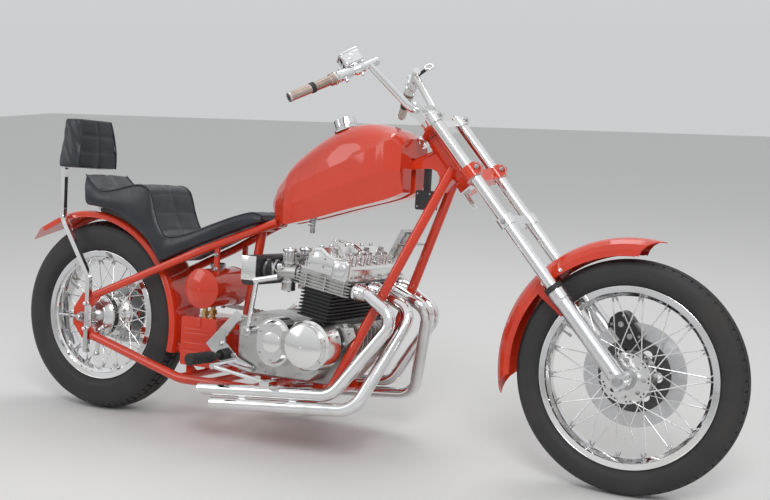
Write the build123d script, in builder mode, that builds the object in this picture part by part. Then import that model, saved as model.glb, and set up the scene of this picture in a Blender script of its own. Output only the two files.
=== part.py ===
import os
from math import acos, asin, atan2, cos, pi, radians, sin, tan

from build123d import *

os.makedirs("parts", exist_ok=True)

# Chopper motorcycle: rigid frame, in-line four-cylinder engine across the frame,
# long raked fork, wire wheels, king-and-queen seat and a padded sissy bar.
# The machine is drawn upright: X forward, Y to its left, Z up, floor at Z 0 and
# the rear axle above X 0. At the end every piece takes the lean of the side stand.

# Main sizes in millimetres and degrees
wheelbase = 1835.0
rake = 41.0
fork_offset = 60.0
lean = 7.2
running_gap = 0.3
weld_gap = 0.2

# Front wheel
front_tyre_radius = 328.0
front_tyre_half_width = 41.0
front_crown_half_width = 30.0
front_crown_drop = 9.0
front_bead_radius = 241.0
front_flange_radius = 254.5
front_rim_half_width = 29.0
front_well_radius = 229.0
front_hub_flange_radius = 71.0
front_hub_flange_offset = 34.0
front_hub_barrel_radius = 31.0
front_spoke_pairs = 9
disc_radius = 148.0
disc_inner_radius = 104.0
disc_offset = 53.0
disc_thickness = 5.0

# Rear wheel
rear_tyre_radius = 321.0
rear_tyre_half_width = 63.0
rear_crown_half_width = 50.0
rear_crown_drop = 16.0
rear_bead_radius = 204.0
rear_flange_radius = 219.0
rear_rim_half_width = 46.0
rear_well_radius = 189.0
rear_hub_flange_radius = 76.0
rear_hub_flange_offset = 34.0
rear_hub_barrel_radius = 58.0
rear_spoke_pairs = 9

rim_wall = 3.5
spoke_radius = 1.8
hub_flange_thickness = 5.0
axle_radius = 8.5

# Fork
fork_tube_spacing = 190.0
fork_tube_radius = 17.5
slider_radius = 24.0
slider_top = 300.0
slider_foot = -20.0
seal_height = 16.0
fork_tube_top = 926.0
lower_clamp_bottom = 698.0
lower_clamp_top = 736.0
upper_clamp_bottom = 898.0
upper_clamp_top = 920.0
head_bearing_gap = 7.0
head_tube_bottom = lower_clamp_top + head_bearing_gap
head_tube_top = upper_clamp_bottom - head_bearing_gap - 4.0
steering_gap = 1.0
head_tube_radius = 27.0
head_tube_bore = 17.0
stem_radius = 13.0
brace_height = 541.0
axle_boss_radius = 21.0

# Frame
frame_tube_radius = 15.0
stay_radius = 13.0
rail_height = 168.0
rail_spread = 150.0
rail_bend_radius = 90.0
plate_offset = 128.0
plate_thickness = 8.0
neck_joint_height = 848.0
seat_junction = (676.0, 0.0, 680.0)

# Rear fender: its arch is struck about a point behind and below the axle
tyre_to_fender = 49.0
fender_centre = (-30.0, rear_tyre_radius - 15.0)
rear_fender_radius = rear_tyre_radius + tyre_to_fender
seat_to_fender = 18.0

rear_axle_height = rear_tyre_radius
front_axle_height = front_tyre_radius
fork_half = fork_tube_spacing / 2

steer_foot_x = wheelbase - fork_offset * cos(radians(rake))
steer_foot_z = front_axle_height - fork_offset * sin(radians(rake))
fork_plane = Plane(
    origin=(steer_foot_x, 0, steer_foot_z),
    x_dir=(cos(radians(rake)), 0, sin(radians(rake))),
    z_dir=(-sin(radians(rake)), 0, cos(radians(rake))),
)
fork_place = fork_plane.location
front_axle_place = Location((wheelbase, 0, front_axle_height))
rear_axle_place = Location((0, 0, rear_axle_height))
upright = Location((0, 0, 0))


def steer_point(ahead, side, up):
    """A point given along the steering axis, in the upright machine."""
    return (
        steer_foot_x + ahead * cos(radians(rake)) - up * sin(radians(rake)),
        side,
        steer_foot_z + ahead * sin(radians(rake)) + up * cos(radians(rake)),
    )


def along(start, end, share):
    """The point at a share of the way from one point to another."""
    return tuple(a + (b - a) * share for a, b in zip(start, end))


def other_side(point):
    """The same point on the other side of the machine."""
    return (point[0], -point[1], point[2])


def fender_spot(stand_off, angle):
    """A point in X and Z at a distance outside the rear fender's arch."""
    reach = rear_fender_radius + stand_off
    return (fender_centre[0] + reach * cos(radians(angle)), fender_centre[1] + reach * sin(radians(angle)))


def round_tube(points, bends, outer, bore=0.0):
    """A round tube along straight runs joined by tangent arcs."""
    with BuildPart() as tube:
        with BuildLine() as run:
            if len(points) > 2:
                FilletPolyline(*points, radius=bends)
            else:
                Line(points[0], points[1])
        with BuildSketch(Plane(origin=run.line @ 0, z_dir=run.line % 0)):
            Circle(outer)
            if bore > 0:
                Circle(bore, mode=Mode.SUBTRACT)
        sweep()
    return tube.part


def spun(points, arc=360.0):
    """A solid of revolution about the Y axis from radius and side points."""
    with BuildPart() as body:
        with BuildSketch(Plane.XY):
            Polygon(*points, align=None)
        revolve(axis=Axis.Y, revolution_arc=arc)
    return body.part


def side_plate(points, side_from, side_to):
    """A plate with an outline in X and Z, between two distances from the middle."""
    with BuildPart() as plate:
        with BuildSketch(Plane.XZ.offset(-side_from)):
            Polygon(*points, align=None)
        extrude(amount=side_from - side_to)
    return plate.part


def cast_plate(points, corner, edge, side_from, side_to, outer_left):
    """A cast plate with rounded corners and a softened edge on its outer face."""
    with BuildPart() as plate:
        with BuildSketch(Plane.XZ.offset(-side_from)) as outline:
            Polygon(*points, align=None)
            fillet(outline.vertices(), corner)
        extrude(amount=side_from - side_to)
        outer_face = plate.faces().sort_by(Axis.Y)[-1 if outer_left else 0]
        chamfer(outer_face.edges(), edge)
    return plate.part


def side_cylinder(x, z, radius, side_from, side_to):
    """A cylinder across the machine, between two distances from the middle."""
    with BuildPart() as drum:
        with BuildSketch(Plane.XZ.offset(-side_from)):
            with Locations((x, z)):
                Circle(radius)
        extrude(amount=side_from - side_to)
    return drum.part


# Tyres: one section each, from bead to crown
def tyre(bead_radius, flange_radius, bead_half, bulge_radius, half_width, shoulder_half, crown_drop, radius):
    with BuildPart() as body:
        with BuildSketch(Plane.XY):
            with BuildLine():
                edge_radius = flange_radius + 1.5
                wall_low = ((edge_radius + bulge_radius) / 2 - 3, half_width - 2.5)
                wall_high = ((bulge_radius + radius - crown_drop) / 2 + 4, half_width - 3)
                Line((bead_radius, -bead_half), (bead_radius, bead_half))
                Line((bead_radius, bead_half), (edge_radius, bead_half))
                ThreePointArc((edge_radius, bead_half), wall_low, (bulge_radius, half_width))
                ThreePointArc((bulge_radius, half_width), wall_high, (radius - crown_drop, shoulder_half))
                ThreePointArc(
                    (radius - crown_drop, shoulder_half), (radius, 0),
                    (radius - crown_drop, -shoulder_half),
                )
                ThreePointArc(
                    (radius - crown_drop, -shoulder_half),
                    (wall_high[0], -wall_high[1]),
                    (bulge_radius, -half_width),
                )
                ThreePointArc(
                    (bulge_radius, -half_width), (wall_low[0], -wall_low[1]), (edge_radius, -bead_half),
                )
                Line((edge_radius, -bead_half), (bead_radius, -bead_half))
            make_face()
        revolve(axis=Axis.Y)
    return body.part


front_bead_half = front_rim_half_width - rim_wall - running_gap
rear_bead_half = rear_rim_half_width - rim_wall - running_gap
front_tyre_part = tyre(
    front_bead_radius + running_gap, front_flange_radius, front_bead_half, 290.0, front_tyre_half_width,
    front_crown_half_width, front_crown_drop, front_tyre_radius,
)
rear_tyre_part = tyre(
    rear_bead_radius + running_gap, rear_flange_radius, rear_bead_half, 262.0, rear_tyre_half_width,
    rear_crown_half_width, rear_crown_drop, rear_tyre_radius,
)


# Rims: a rolled channel, flange, bead seat, step and well
def rim(flange_radius, bead_radius, step_radius, well_radius, half_width, step_half, well_half):
    outer = [
        (flange_radius, half_width - rim_wall),
        (bead_radius, half_width - rim_wall),
        (bead_radius - 2, step_half),
        (step_radius, step_half - 4),
        (well_radius, well_half),
    ]
    inner = [
        (flange_radius, half_width),
        (bead_radius - rim_wall, half_width),
        (bead_radius - 2 - rim_wall, step_half + 2),
        (step_radius - rim_wall, step_half - 2),
        (well_radius - rim_wall, well_half),
    ]
    ring = [(r, -y) for r, y in outer] + [(r, y) for r, y in reversed(outer)]
    ring += [(r, y) for r, y in inner] + [(r, -y) for r, y in reversed(inner)]
    return spun(ring)


front_rim_part = rim(
    front_flange_radius, front_bead_radius, 236.0, front_well_radius, front_rim_half_width, 22.0, 11.0
)
rear_rim_part = rim(
    rear_flange_radius, rear_bead_radius, 197.0, rear_well_radius, rear_rim_half_width, 36.0, 18.0
)


# Hubs: barrel, two flanges and the hollow for the axle
def hub(barrel, flange_radius, flange_offset, half_length, bearing_radius):
    inside = flange_offset - hub_flange_thickness / 2
    outside = flange_offset + hub_flange_thickness / 2
    half = [
        (axle_radius + running_gap, half_length),
        (bearing_radius, half_length),
        (bearing_radius, outside + 2),
        (bearing_radius + 8, outside),
        (flange_radius, outside),
        (flange_radius, inside),
        (barrel + 8, inside),
        (barrel, inside - 8),
    ]
    return spun(half + [(r, -y) for r, y in reversed(half)])


front_hub_half_length = fork_half - slider_radius - 5.0
rear_hub_half_length = 62.0
with BuildPart() as front_hub:
    add(
        hub(
            front_hub_barrel_radius, front_hub_flange_radius, front_hub_flange_offset,
            front_hub_half_length, 24.0,
        )
    )
    with BuildSketch(Plane.XZ):
        with PolarLocations(50.0, 8):
            Circle(7.0)
    extrude(amount=front_hub_flange_offset + 10, both=True, mode=Mode.SUBTRACT)
with BuildPart() as rear_hub:
    add(
        hub(
            rear_hub_barrel_radius, rear_hub_flange_radius, rear_hub_flange_offset,
            rear_hub_half_length, 30.0,
        )
    )


# Spokes: crossed pairs on both sides of each flange
spoke_lay = [
    # flange side, face of the flange, lead in degrees, rim side
    (1, 1, 34.0, 5.0),
    (1, -1, -34.0, 1.5),
    (-1, 1, 34.0, -5.0),
    (-1, -1, -34.0, -1.5),
]


def spokes(pairs, flange_offset, hub_flange, rim_inside):
    start_radius = hub_flange - 7.0
    end_radius = rim_inside - running_gap
    wires = []
    for flange_side, face, lead, rim_side in spoke_lay:
        stand_off = hub_flange_thickness / 2 + spoke_radius + running_gap
        side = flange_side * (flange_offset + face * stand_off)
        for number in range(pairs):
            spread = 180.0 / pairs if flange_side > 0 else 0.0
            fan = 90.0 / pairs if face > 0 else 0.0
            hub_angle = radians(number * 360.0 / pairs + spread + fan)
            rim_angle = hub_angle + radians(lead)
            start = (start_radius * cos(hub_angle), side, start_radius * sin(hub_angle))
            end = (end_radius * cos(rim_angle), rim_side, end_radius * sin(rim_angle))
            wires.append(round_tube([start, end], 0, spoke_radius))
    return wires


with BuildPart() as front_spokes:
    for wire in spokes(
        front_spoke_pairs, front_hub_flange_offset, front_hub_flange_radius,
        front_well_radius - rim_wall,
    ):
        add(wire)
with BuildPart() as rear_spokes:
    for wire in spokes(
        rear_spoke_pairs, rear_hub_flange_offset, rear_hub_flange_radius, rear_well_radius - rim_wall,
    ):
        add(wire)

# Front brake disc on its carrier, on the left of the hub
with BuildPart() as brake_disc:
    with BuildSketch(Plane.XZ.offset(-disc_offset + disc_thickness / 2)):
        Circle(disc_radius)
        Circle(disc_inner_radius, mode=Mode.SUBTRACT)
    extrude(amount=-disc_thickness)
    with BuildSketch(Plane.XZ.offset(-disc_offset + disc_thickness / 2)):
        Circle(disc_inner_radius)
        Circle(24.0 + running_gap, mode=Mode.SUBTRACT)
        with PolarLocations(66.0, 6):
            Circle(15.0, mode=Mode.SUBTRACT)
    extrude(amount=-disc_thickness)

# Rear sprocket: a toothed disc on the left of the hub
chain_side = 92.0
chain_pitch = 15.875
sprocket_teeth = 36
sprocket_radius = chain_pitch / (2 * sin(pi / sprocket_teeth))
tooth_height = 3.5
sprocket_thickness = 7.0
with BuildPart() as rear_sprocket:
    with BuildSketch(Plane.XZ.offset(-chain_side + sprocket_thickness / 2)):
        Circle(sprocket_radius - 4.0)
        with PolarLocations(sprocket_radius - 4.5, sprocket_teeth):
            Trapezoid(9.0, 9.0, 68, rotation=-90)
        Circle(31.0, mode=Mode.SUBTRACT)
        with PolarLocations(56.0, 5):
            Circle(13.0, mode=Mode.SUBTRACT)
    extrude(amount=-sprocket_thickness)
    with BuildSketch(Plane.XZ.offset(-rear_hub_half_length)):
        Circle(44.0)
        Circle(axle_radius + running_gap, mode=Mode.SUBTRACT)
    extrude(amount=-(chain_side - sprocket_thickness / 2 - rear_hub_half_length))
    with BuildSketch(Plane.XZ.offset(-chain_side + sprocket_thickness / 2)):
        Circle(44.0)
        Circle(axle_radius + running_gap, mode=Mode.SUBTRACT)
    extrude(amount=-sprocket_thickness)

# Rear brake plate and its lever, held still on the right of the hub
plate_inner = rear_hub_half_length + 1.0
with BuildPart() as rear_brake_plate:
    with BuildSketch(Plane.XY):
        with BuildLine():
            Line((axle_radius + running_gap, -plate_inner), (78.0, -plate_inner))
            Line((78.0, -plate_inner), (78.0, -plate_inner - 6))
            ThreePointArc((78.0, -plate_inner - 6), (60.0, -plate_inner - 17), (34.0, -plate_inner - 22))
            Line((34.0, -plate_inner - 22), (34.0, -plate_offset + plate_thickness / 2 + running_gap))
            Line(
                (34.0, -plate_offset + plate_thickness / 2 + running_gap),
                (axle_radius + running_gap, -plate_offset + plate_thickness / 2 + running_gap),
            )
            Line(
                (axle_radius + running_gap, -plate_offset + plate_thickness / 2 + running_gap),
                (axle_radius + running_gap, -plate_inner),
            )
        make_face()
    revolve(axis=Axis.Y)
    add(side_cylinder(40.0, -44.0, 10.0, -plate_inner - 2, -plate_inner - 34))
    with BuildSketch(Plane.XZ.offset(plate_inner + 26)):
        with BuildLine():
            Polyline((33, -40), (47, -40), (40, -128), (28, -128), close=True)
        make_face()
    extrude(amount=7.0)
    add(side_cylinder(34.0, -124.0, 8.0, -plate_inner - 24, -plate_inner - 38))

# Fork, drawn along the steering axis: X ahead of it, Y to the left, Z up it
leg = fork_offset
caliper_near = slider_radius + 5.0
with BuildPart() as fork_tubes:
    for side in (-fork_half, fork_half):
        with Locations((leg, side, slider_top)):
            Cylinder(
                fork_tube_radius, fork_tube_top - slider_top,
                align=(Align.CENTER, Align.CENTER, Align.MIN),
            )

with BuildPart() as fork_sliders:
    for side in (-fork_half, fork_half):
        with BuildSketch(Plane(origin=(leg, side, 0), x_dir=(1, 0, 0), z_dir=(0, -1, 0))):
            with BuildLine():
                Polyline(
                    (0, slider_foot),
                    (slider_radius - 5, slider_foot),
                    (slider_radius - 2, slider_foot + 14),
                    (slider_radius, slider_foot + 34),
                    (slider_radius, slider_top - 34),
                    (slider_radius + 2, slider_top - 28),
                    (slider_radius + 2, slider_top),
                    (0, slider_top),
                    close=True,
                )
            make_face()
        revolve(axis=Axis((leg, side, 0), (0, 0, 1)))
        add(side_cylinder(leg, 0, axle_boss_radius, side - slider_radius - 2, side + slider_radius + 2))
    add(
        side_plate(
            [(leg + 8, 76), (leg + caliper_near, 80), (leg + caliper_near, 100), (leg + 8, 108)],
            fork_half - 14, fork_half - 4,
        )
    )
    add(
        side_plate(
            [(leg + 8, 128), (leg + caliper_near, 132), (leg + caliper_near, 152), (leg + 8, 160)],
            fork_half - 14, fork_half - 4,
        )
    )
    for side in (-fork_half, fork_half):
        add(side_cylinder(leg, 0, axle_radius + running_gap, side - 40, side + 40), mode=Mode.SUBTRACT)

with BuildPart() as fork_seals:
    for side in (-fork_half, fork_half):
        with Locations((leg, side, slider_top)):
            Cylinder(slider_radius + 3, seal_height, align=(Align.CENTER, Align.CENTER, Align.MIN))
            Cylinder(
                fork_tube_radius + running_gap, seal_height,
                align=(Align.CENTER, Align.CENTER, Align.MIN), mode=Mode.SUBTRACT,
            )


def clamp(bottom, top, ring_radius, waist, stem):
    """A fork clamp: a ring for each tube and a bridge through the stem."""
    height = top - bottom
    with BuildPart() as yoke:
        with BuildSketch(Plane.XY.offset(bottom)):
            with BuildLine():
                Polyline(
                    (leg + waist, -fork_half), (leg - 8, 0), (leg + waist, fork_half),
                    (leg - waist, fork_half), (-stem, 22), (-stem, -22), (leg - waist, -fork_half),
                    close=True,
                )
            make_face()
            with Locations((0, 0)):
                Circle(stem)
            for side in (-fork_half, fork_half):
                with Locations((leg, side)):
                    Circle(ring_radius)
        extrude(amount=height)
        for side in (-fork_half, fork_half):
            with Locations((leg, side, bottom)):
                Cylinder(
                    fork_tube_radius + running_gap, height,
                    align=(Align.CENTER, Align.CENTER, Align.MIN), mode=Mode.SUBTRACT,
                )
    return yoke.part


with BuildPart() as lower_clamp:
    add(clamp(lower_clamp_bottom, lower_clamp_top, 27.0, 14.0, 26.0))
    for side in (-fork_half, fork_half):
        with Locations((leg + 27, side, (lower_clamp_bottom + lower_clamp_top) / 2)):
            Box(14.0, 16.0, 22.0)
            Cylinder(4.5, 30.0, rotation=(90, 0, 0))
    for side in (-fork_half, fork_half):
        with Locations((leg, side, lower_clamp_bottom)):
            Cylinder(
                fork_tube_radius + running_gap, 60.0,
                align=(Align.CENTER, Align.CENTER, Align.MIN), mode=Mode.SUBTRACT,
            )
    with Locations((0, 0, lower_clamp_top)):
        Cylinder(
            stem_radius, upper_clamp_bottom - lower_clamp_top - running_gap,
            align=(Align.CENTER, Align.CENTER, Align.MIN),
        )

riser_ahead = 20.0
riser_half = 50.0
riser_top = 985.0
bar_radius = 11.1
with BuildPart() as upper_clamp:
    add(clamp(upper_clamp_bottom, upper_clamp_top, 25.0, 12.0, 24.0))
    with Locations((0, 0, upper_clamp_top)):
        Cylinder(14.0, 10.0, align=(Align.CENTER, Align.CENTER, Align.MIN))
    for side in (-fork_half, fork_half):
        with Locations((leg + 25, side, (upper_clamp_bottom + upper_clamp_top) / 2)):
            Box(12.0, 14.0, 14.0)
        with Locations((leg, side, upper_clamp_bottom)):
            Cylinder(
                fork_tube_radius + running_gap, 40.0,
                align=(Align.CENTER, Align.CENTER, Align.MIN), mode=Mode.SUBTRACT,
            )
    for side in (-riser_half, riser_half):
        with Locations((riser_ahead, side, upper_clamp_top)):
            Cylinder(15.0, 14.0, align=(Align.CENTER, Align.CENTER, Align.MIN))
            Cone(
                15.0, 11.0, riser_top - upper_clamp_top - 14.0 - 24.0,
                align=(Align.CENTER, Align.CENTER, Align.MIN),
            )
        with BuildSketch(Plane(origin=(riser_ahead, side, riser_top), x_dir=(1, 0, 0), z_dir=(0, -1, 0))):
            Circle(23.0)
            with Locations((0, -26.0)):
                Rectangle(24.0, 44.0)
        extrude(amount=14.0, both=True)
    for side in (-riser_half, riser_half):
        add(
            side_cylinder(riser_ahead, riser_top, bar_radius + weld_gap, side - 20, side + 20),
            mode=Mode.SUBTRACT,
        )
    with Locations((-38.0, 0, upper_clamp_bottom)):
        Cylinder(13.0, 30.0, align=(Align.CENTER, Align.CENTER, Align.MIN))
        Box(36.0, 20.0, 20.0, align=(Align.MIN, Align.CENTER, Align.MIN))

with BuildPart() as fork_brace:
    with BuildSketch(Plane.XY.offset(brace_height - 15)):
        for side in (-fork_half, fork_half):
            with Locations((leg, side)):
                Circle(25.0)
        with Locations((leg, 0)):
            Rectangle(20.0, fork_tube_spacing)
        for side in (-fork_half, fork_half):
            with Locations((leg, side)):
                Circle(fork_tube_radius + running_gap, mode=Mode.SUBTRACT)
    extrude(amount=30.0)
    with Locations((leg, 0, brace_height + 6)):
        Box(14.0, fork_tube_spacing - 2 * 26.0, 30.0, mode=Mode.SUBTRACT)

with BuildPart() as lamp_bracket:
    with BuildSketch(Plane.YZ.offset(-10.0)):
        with Locations((-52.0, lower_clamp_bottom - 28.0 - running_gap)):
            Rectangle(34.0, 56.0)
        with Locations((-52.0, lower_clamp_bottom - 16.0), (-52.0, lower_clamp_bottom - 40.0)):
            Circle(5.0, mode=Mode.SUBTRACT)
    extrude(amount=5.0)
    with Locations((-5.0, -52.0, lower_clamp_bottom - running_gap)):
        Box(34.0, 34.0, 5.0, align=(Align.MIN, Align.CENTER, Align.MAX))

# Handlebar: a bent lower bar and a grip tube welded to each upper end
bar_knee_side = 155.0
bar_knee_up = 1150.0
bar_knee_ahead = 16.0
grip_start = (bar_knee_ahead + 20.0, bar_knee_side - 22.0, bar_knee_up)
grip_end = (-168.0, 360.0, bar_knee_up + 5.0)
with BuildPart() as handlebar:
    add(
        round_tube(
            [
                (bar_knee_ahead, -bar_knee_side, bar_knee_up),
                (riser_ahead, -riser_half - 38.0, riser_top),
                (riser_ahead, riser_half + 38.0, riser_top),
                (bar_knee_ahead, bar_knee_side, bar_knee_up),
            ],
            [26.0, 26.0],
            bar_radius,
        )
    )
    add(round_tube([grip_start, grip_end], 0, bar_radius))
    add(round_tube([other_side(grip_start), other_side(grip_end)], 0, bar_radius))

grip_radius = bar_radius + 2.6
with BuildPart() as grips:
    for turn in (lambda p: p, other_side):
        inner_end = turn(along(grip_start, grip_end, 0.52))
        outer_end = turn(along(grip_start, grip_end, 1.0))
        collar_in = turn(along(grip_start, grip_end, 0.50))
        collar_out = turn(along(grip_start, grip_end, 0.54))
        add(round_tube([inner_end, outer_end], 0, grip_radius))
        add(round_tube([collar_in, collar_out], 0, grip_radius + 4.0))
    for turn in (lambda p: p, other_side):
        add(
            round_tube([turn(grip_start), turn(along(grip_start, grip_end, 1.1))], 0, bar_radius + weld_gap),
            mode=Mode.SUBTRACT,
        )

control_mid = along(grip_start, grip_end, 0.30)
with BuildPart() as hand_controls:
    add(
        round_tube(
            [along(grip_start, grip_end, 0.2), along(grip_start, grip_end, 0.44)], 0, bar_radius + 7.0,
        )
    )
    add(
        round_tube(
            [other_side(along(grip_start, grip_end, 0.16)), other_side(along(grip_start, grip_end, 0.46))],
            0, bar_radius + 6.0,
        )
    )
    with BuildSketch(
        Plane(
            origin=other_side(along(grip_start, grip_end, 0.24))[:2] + (bar_knee_up + 14.0,),
            x_dir=tuple(b - a for a, b in zip(other_side(grip_start), other_side(grip_end))),
            z_dir=(0, 0, 1),
        )
    ):
        RectangleRounded(62.0, 44.0, 8.0)
    extrude(amount=48.0)
    add(
        round_tube([grip_start, along(grip_start, grip_end, 1.0)], 0, bar_radius + weld_gap),
        mode=Mode.SUBTRACT,
    )
    add(
        round_tube(
            [other_side(grip_start), other_side(along(grip_start, grip_end, 1.0))], 0,
            bar_radius + weld_gap,
        ),
        mode=Mode.SUBTRACT,
    )

# Front fender: a half-round section bent about the wheel, pointed at both ends
fender_section_radius = 50.0
fender_wall = 2.5
front_fender_radius = 338.0
front_fender_from = 37.0
front_fender_to = 153.0


def arched_fender(arch_radius, section, first_angle, last_angle):
    """A fender section turned about a cross axis between two angles."""
    with BuildPart() as guard:
        with BuildSketch(Plane.XY):
            with BuildLine():
                Polyline(*[(arch_radius + r, y) for r, y in section], close=True)
            make_face()
        revolve(axis=Axis.Y, revolution_arc=last_angle - first_angle)
    return Location((0, 0, 0), (0, -last_angle, 0)) * guard.part


half_round = [
    (fender_section_radius * sin(radians(a)), fender_section_radius * cos(radians(a)))
    for a in (0, 20, 40, 60, 75, 90, 105, 120, 140, 160, 180)
]
inner_round = [
    (
        (fender_section_radius - fender_wall) * sin(radians(a)),
        (fender_section_radius - fender_wall) * cos(radians(a)),
    )
    for a in (180, 160, 140, 120, 105, 90, 75, 60, 40, 20, 0)
]
with BuildPart() as front_fender:
    add(arched_fender(front_fender_radius, half_round + inner_round, front_fender_from, front_fender_to))
    for end_angle, turn_back in ((front_fender_from, 1), (front_fender_to, -1)):
        tip = Plane(
            origin=(
                front_fender_radius * cos(radians(end_angle)), 0, front_fender_radius * sin(
                    radians(end_angle)
                ),
            ),
            x_dir=(-turn_back * sin(radians(end_angle)), 0, turn_back * cos(radians(end_angle))),
            z_dir=(cos(radians(end_angle)), 0, sin(radians(end_angle))),
        )
        with BuildSketch(tip):
            Polygon((0, 0), (62, 54), (-30, 54), (-30, -54), (62, -54), align=None)
        extrude(amount=70, both=True, mode=Mode.SUBTRACT)
    for side in (-1, 1):
        near = 47.8 if side > 0 else -54.0
        add(
            side_plate(
                [
                    (22, 338), (22, 356), (-52, 354), (-60, 325), (-44, 240), (-4, 236), (-4, 262), (
                        -26, 262,
                    ),
                    (-38, 325), (-34, 338),
                ],
                near + 6.2, near,
            )
        )
        add(side_cylinder(-12.0, 250.0, 8.0, max(side * 52.0, side * 74.0), min(side * 52.0, side * 74.0)))
    for side in (-1, 1):
        with Locations((0, side * fork_half, 200.0)):
            Cylinder(
                slider_radius + weld_gap, slider_top - 228.0,
                align=(Align.CENTER, Align.CENTER, Align.MIN), mode=Mode.SUBTRACT,
            )
front_fender_place = Location((leg, 0, 0))

with BuildPart() as front_axle:
    add(side_cylinder(leg, 0, axle_radius, -fork_half - slider_radius - 10, fork_half + slider_radius + 10))
    for side in (-1, 1):
        start = side * (fork_half + slider_radius + 2.0 + weld_gap)
        with BuildSketch(Plane(origin=(leg, start, 0), x_dir=(1, 0, 0), z_dir=(0, side, 0))):
            RegularPolygon(14.0, 6)
        extrude(amount=10.0)
    for side in (-1, 1):
        near = side * (fork_half - slider_radius - 2.0 - weld_gap)
        far = side * (front_hub_half_length + 0.4)
        add(side_cylinder(leg, 0, 14.0, max(near, far), min(near, far)))

# Front caliper: a block astride the disc, ahead of the left slider
disc_run = 5.0
with BuildPart() as front_caliper:
    with BuildSketch(Plane.XZ.offset(-92.0)):
        with Locations((leg + caliper_near + weld_gap + 30.0, 113.0)):
            RectangleRounded(60.0, 108.0, 22.0)
    extrude(amount=92.0 - 37.5)
    add(
        side_cylinder(
            leg, 0, disc_radius + disc_run, disc_offset + disc_thickness / 2 + disc_run,
            disc_offset - disc_thickness / 2 - disc_run,
        ),
        mode=Mode.SUBTRACT,
    )
    add(side_cylinder(leg, 0, 88.0, disc_offset, 30.0), mode=Mode.SUBTRACT)
    for up in (90.0, 136.0):
        add(side_cylinder(leg + caliper_near + 30.0, up, 17.0, 97.0, 91.0))

# Frame: one spine, two loops, two stays and cross tubes
head_low = steer_point(0, 0, head_tube_bottom)
neck_joint = steer_point(0, 0, neck_joint_height)
down_mark = (1252.0, 34.0, 830.0)
rail_corner = (962.0, rail_spread + 6.0, rail_height)
down_top = along(down_mark, rail_corner, -0.075)
down_cut = along(down_mark, rail_corner, 0.10)
rail_rear = (423.0, rail_spread, rail_height - 2.0)
rail_end = (42.0, plate_offset, 262.0)
stay_root = (676.0, 22.0, 680.0)
stay_knee = (440.0, 101.0, 574.0)
stay_end = (46.0, plate_offset, 397.5)
stay_cut = along(stay_root, stay_knee, 0.25)
post_top = (611.0, 0.0, 652.0)
post_foot = (538.0, 0.0, rail_height + 12.0)
cross_radius = 12.0

with BuildPart() as frame_spine:
    with Locations(fork_place * Location((0, 0, head_tube_bottom))):
        Cylinder(
            head_tube_radius, head_tube_top - head_tube_bottom,
            align=(Align.CENTER, Align.CENTER, Align.MIN),
        )
    with Locations(fork_place * Location((0, 0, lower_clamp_top + steering_gap))):
        Cylinder(
            head_tube_radius - 2, upper_clamp_bottom - lower_clamp_top - 2 * steering_gap,
            align=(Align.CENTER, Align.CENTER, Align.MIN),
        )
    add(round_tube([neck_joint, seat_junction], 0, frame_tube_radius))
    add(round_tube([post_top, post_foot], 0, frame_tube_radius))
    add(round_tube([stay_root, other_side(stay_root)], 0, frame_tube_radius + 1))
    add(
        round_tube(
            [along(stay_root, stay_knee, 0.18), other_side(along(stay_root, stay_knee, 0.18))], 0, cross_radius
        )
    )
    for turn in (lambda p: p, other_side):
        add(round_tube([turn(stay_root), turn(stay_cut)], 0, stay_radius))
        add(round_tube([turn(down_top), turn(down_cut)], 0, frame_tube_radius))
    add(
        side_plate(
            [
                (1104, 868), (1200, 876), (1220, 868), (1230, 852), (1224, 800), (1246, 806),
                (1282, 862), (1236, 926), (1110, 878),
            ],
            17.0, -17.0,
        )
    )
    with Locations(fork_place * Location((0, 0, lower_clamp_top))):
        Cylinder(head_tube_bore, 170.0, align=(Align.CENTER, Align.CENTER, Align.MIN), mode=Mode.SUBTRACT)


def frame_loop(turn):
    """One side of the cradle: downtube, lower rail and its rise to the axle."""
    with BuildPart() as loop:
        add(
            round_tube(
                [turn(p) for p in (down_cut, rail_corner, rail_rear, rail_end)],
                [rail_bend_radius, 160.0],
                frame_tube_radius,
            )
        )
        add(plate_slot(turn), mode=Mode.SUBTRACT)
    return loop.part


def plate_slot(turn):
    """The space that an axle plate takes in the tube ends."""
    middle = turn((0, plate_offset, 0))[1]
    half = plate_thickness / 2 + weld_gap
    return side_plate([(-80, 200), (74, 200), (74, 440), (-80, 440)], middle + half, middle - half)


frame_loop_left_part = frame_loop(lambda p: p)
frame_loop_right_part = frame_loop(other_side)

with BuildPart() as frame_stays:
    for turn in (lambda p: p, other_side):
        add(round_tube([turn(p) for p in (stay_cut, stay_knee, stay_end)], [220.0], stay_radius))
    for turn in (lambda p: p, other_side):
        add(plate_slot(turn), mode=Mode.SUBTRACT)

axle_plate_outline = [
    (-40, 294), (-40, 348), (-2, 402), (62, 406), (66, 388), (32, 352), (32, 296), (66, 262), (60, 244), (
        0, 250,
    ),
]
axle_plate_parts = []
for middle in (-plate_offset, plate_offset):
    with BuildPart() as axle_plate:
        add(side_plate(axle_plate_outline, middle + plate_thickness / 2, middle - plate_thickness / 2))
        with BuildSketch(Plane.XZ.offset(-middle - plate_thickness / 2)):
            with Locations((-4, rear_axle_height)):
                SlotOverall(52.0, 2 * (axle_radius + weld_gap))
        extrude(amount=plate_thickness, mode=Mode.SUBTRACT)
    axle_plate_parts.append(axle_plate.part)
with BuildPart() as axle_plates:
    for plate in axle_plate_parts:
        add(plate)

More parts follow.
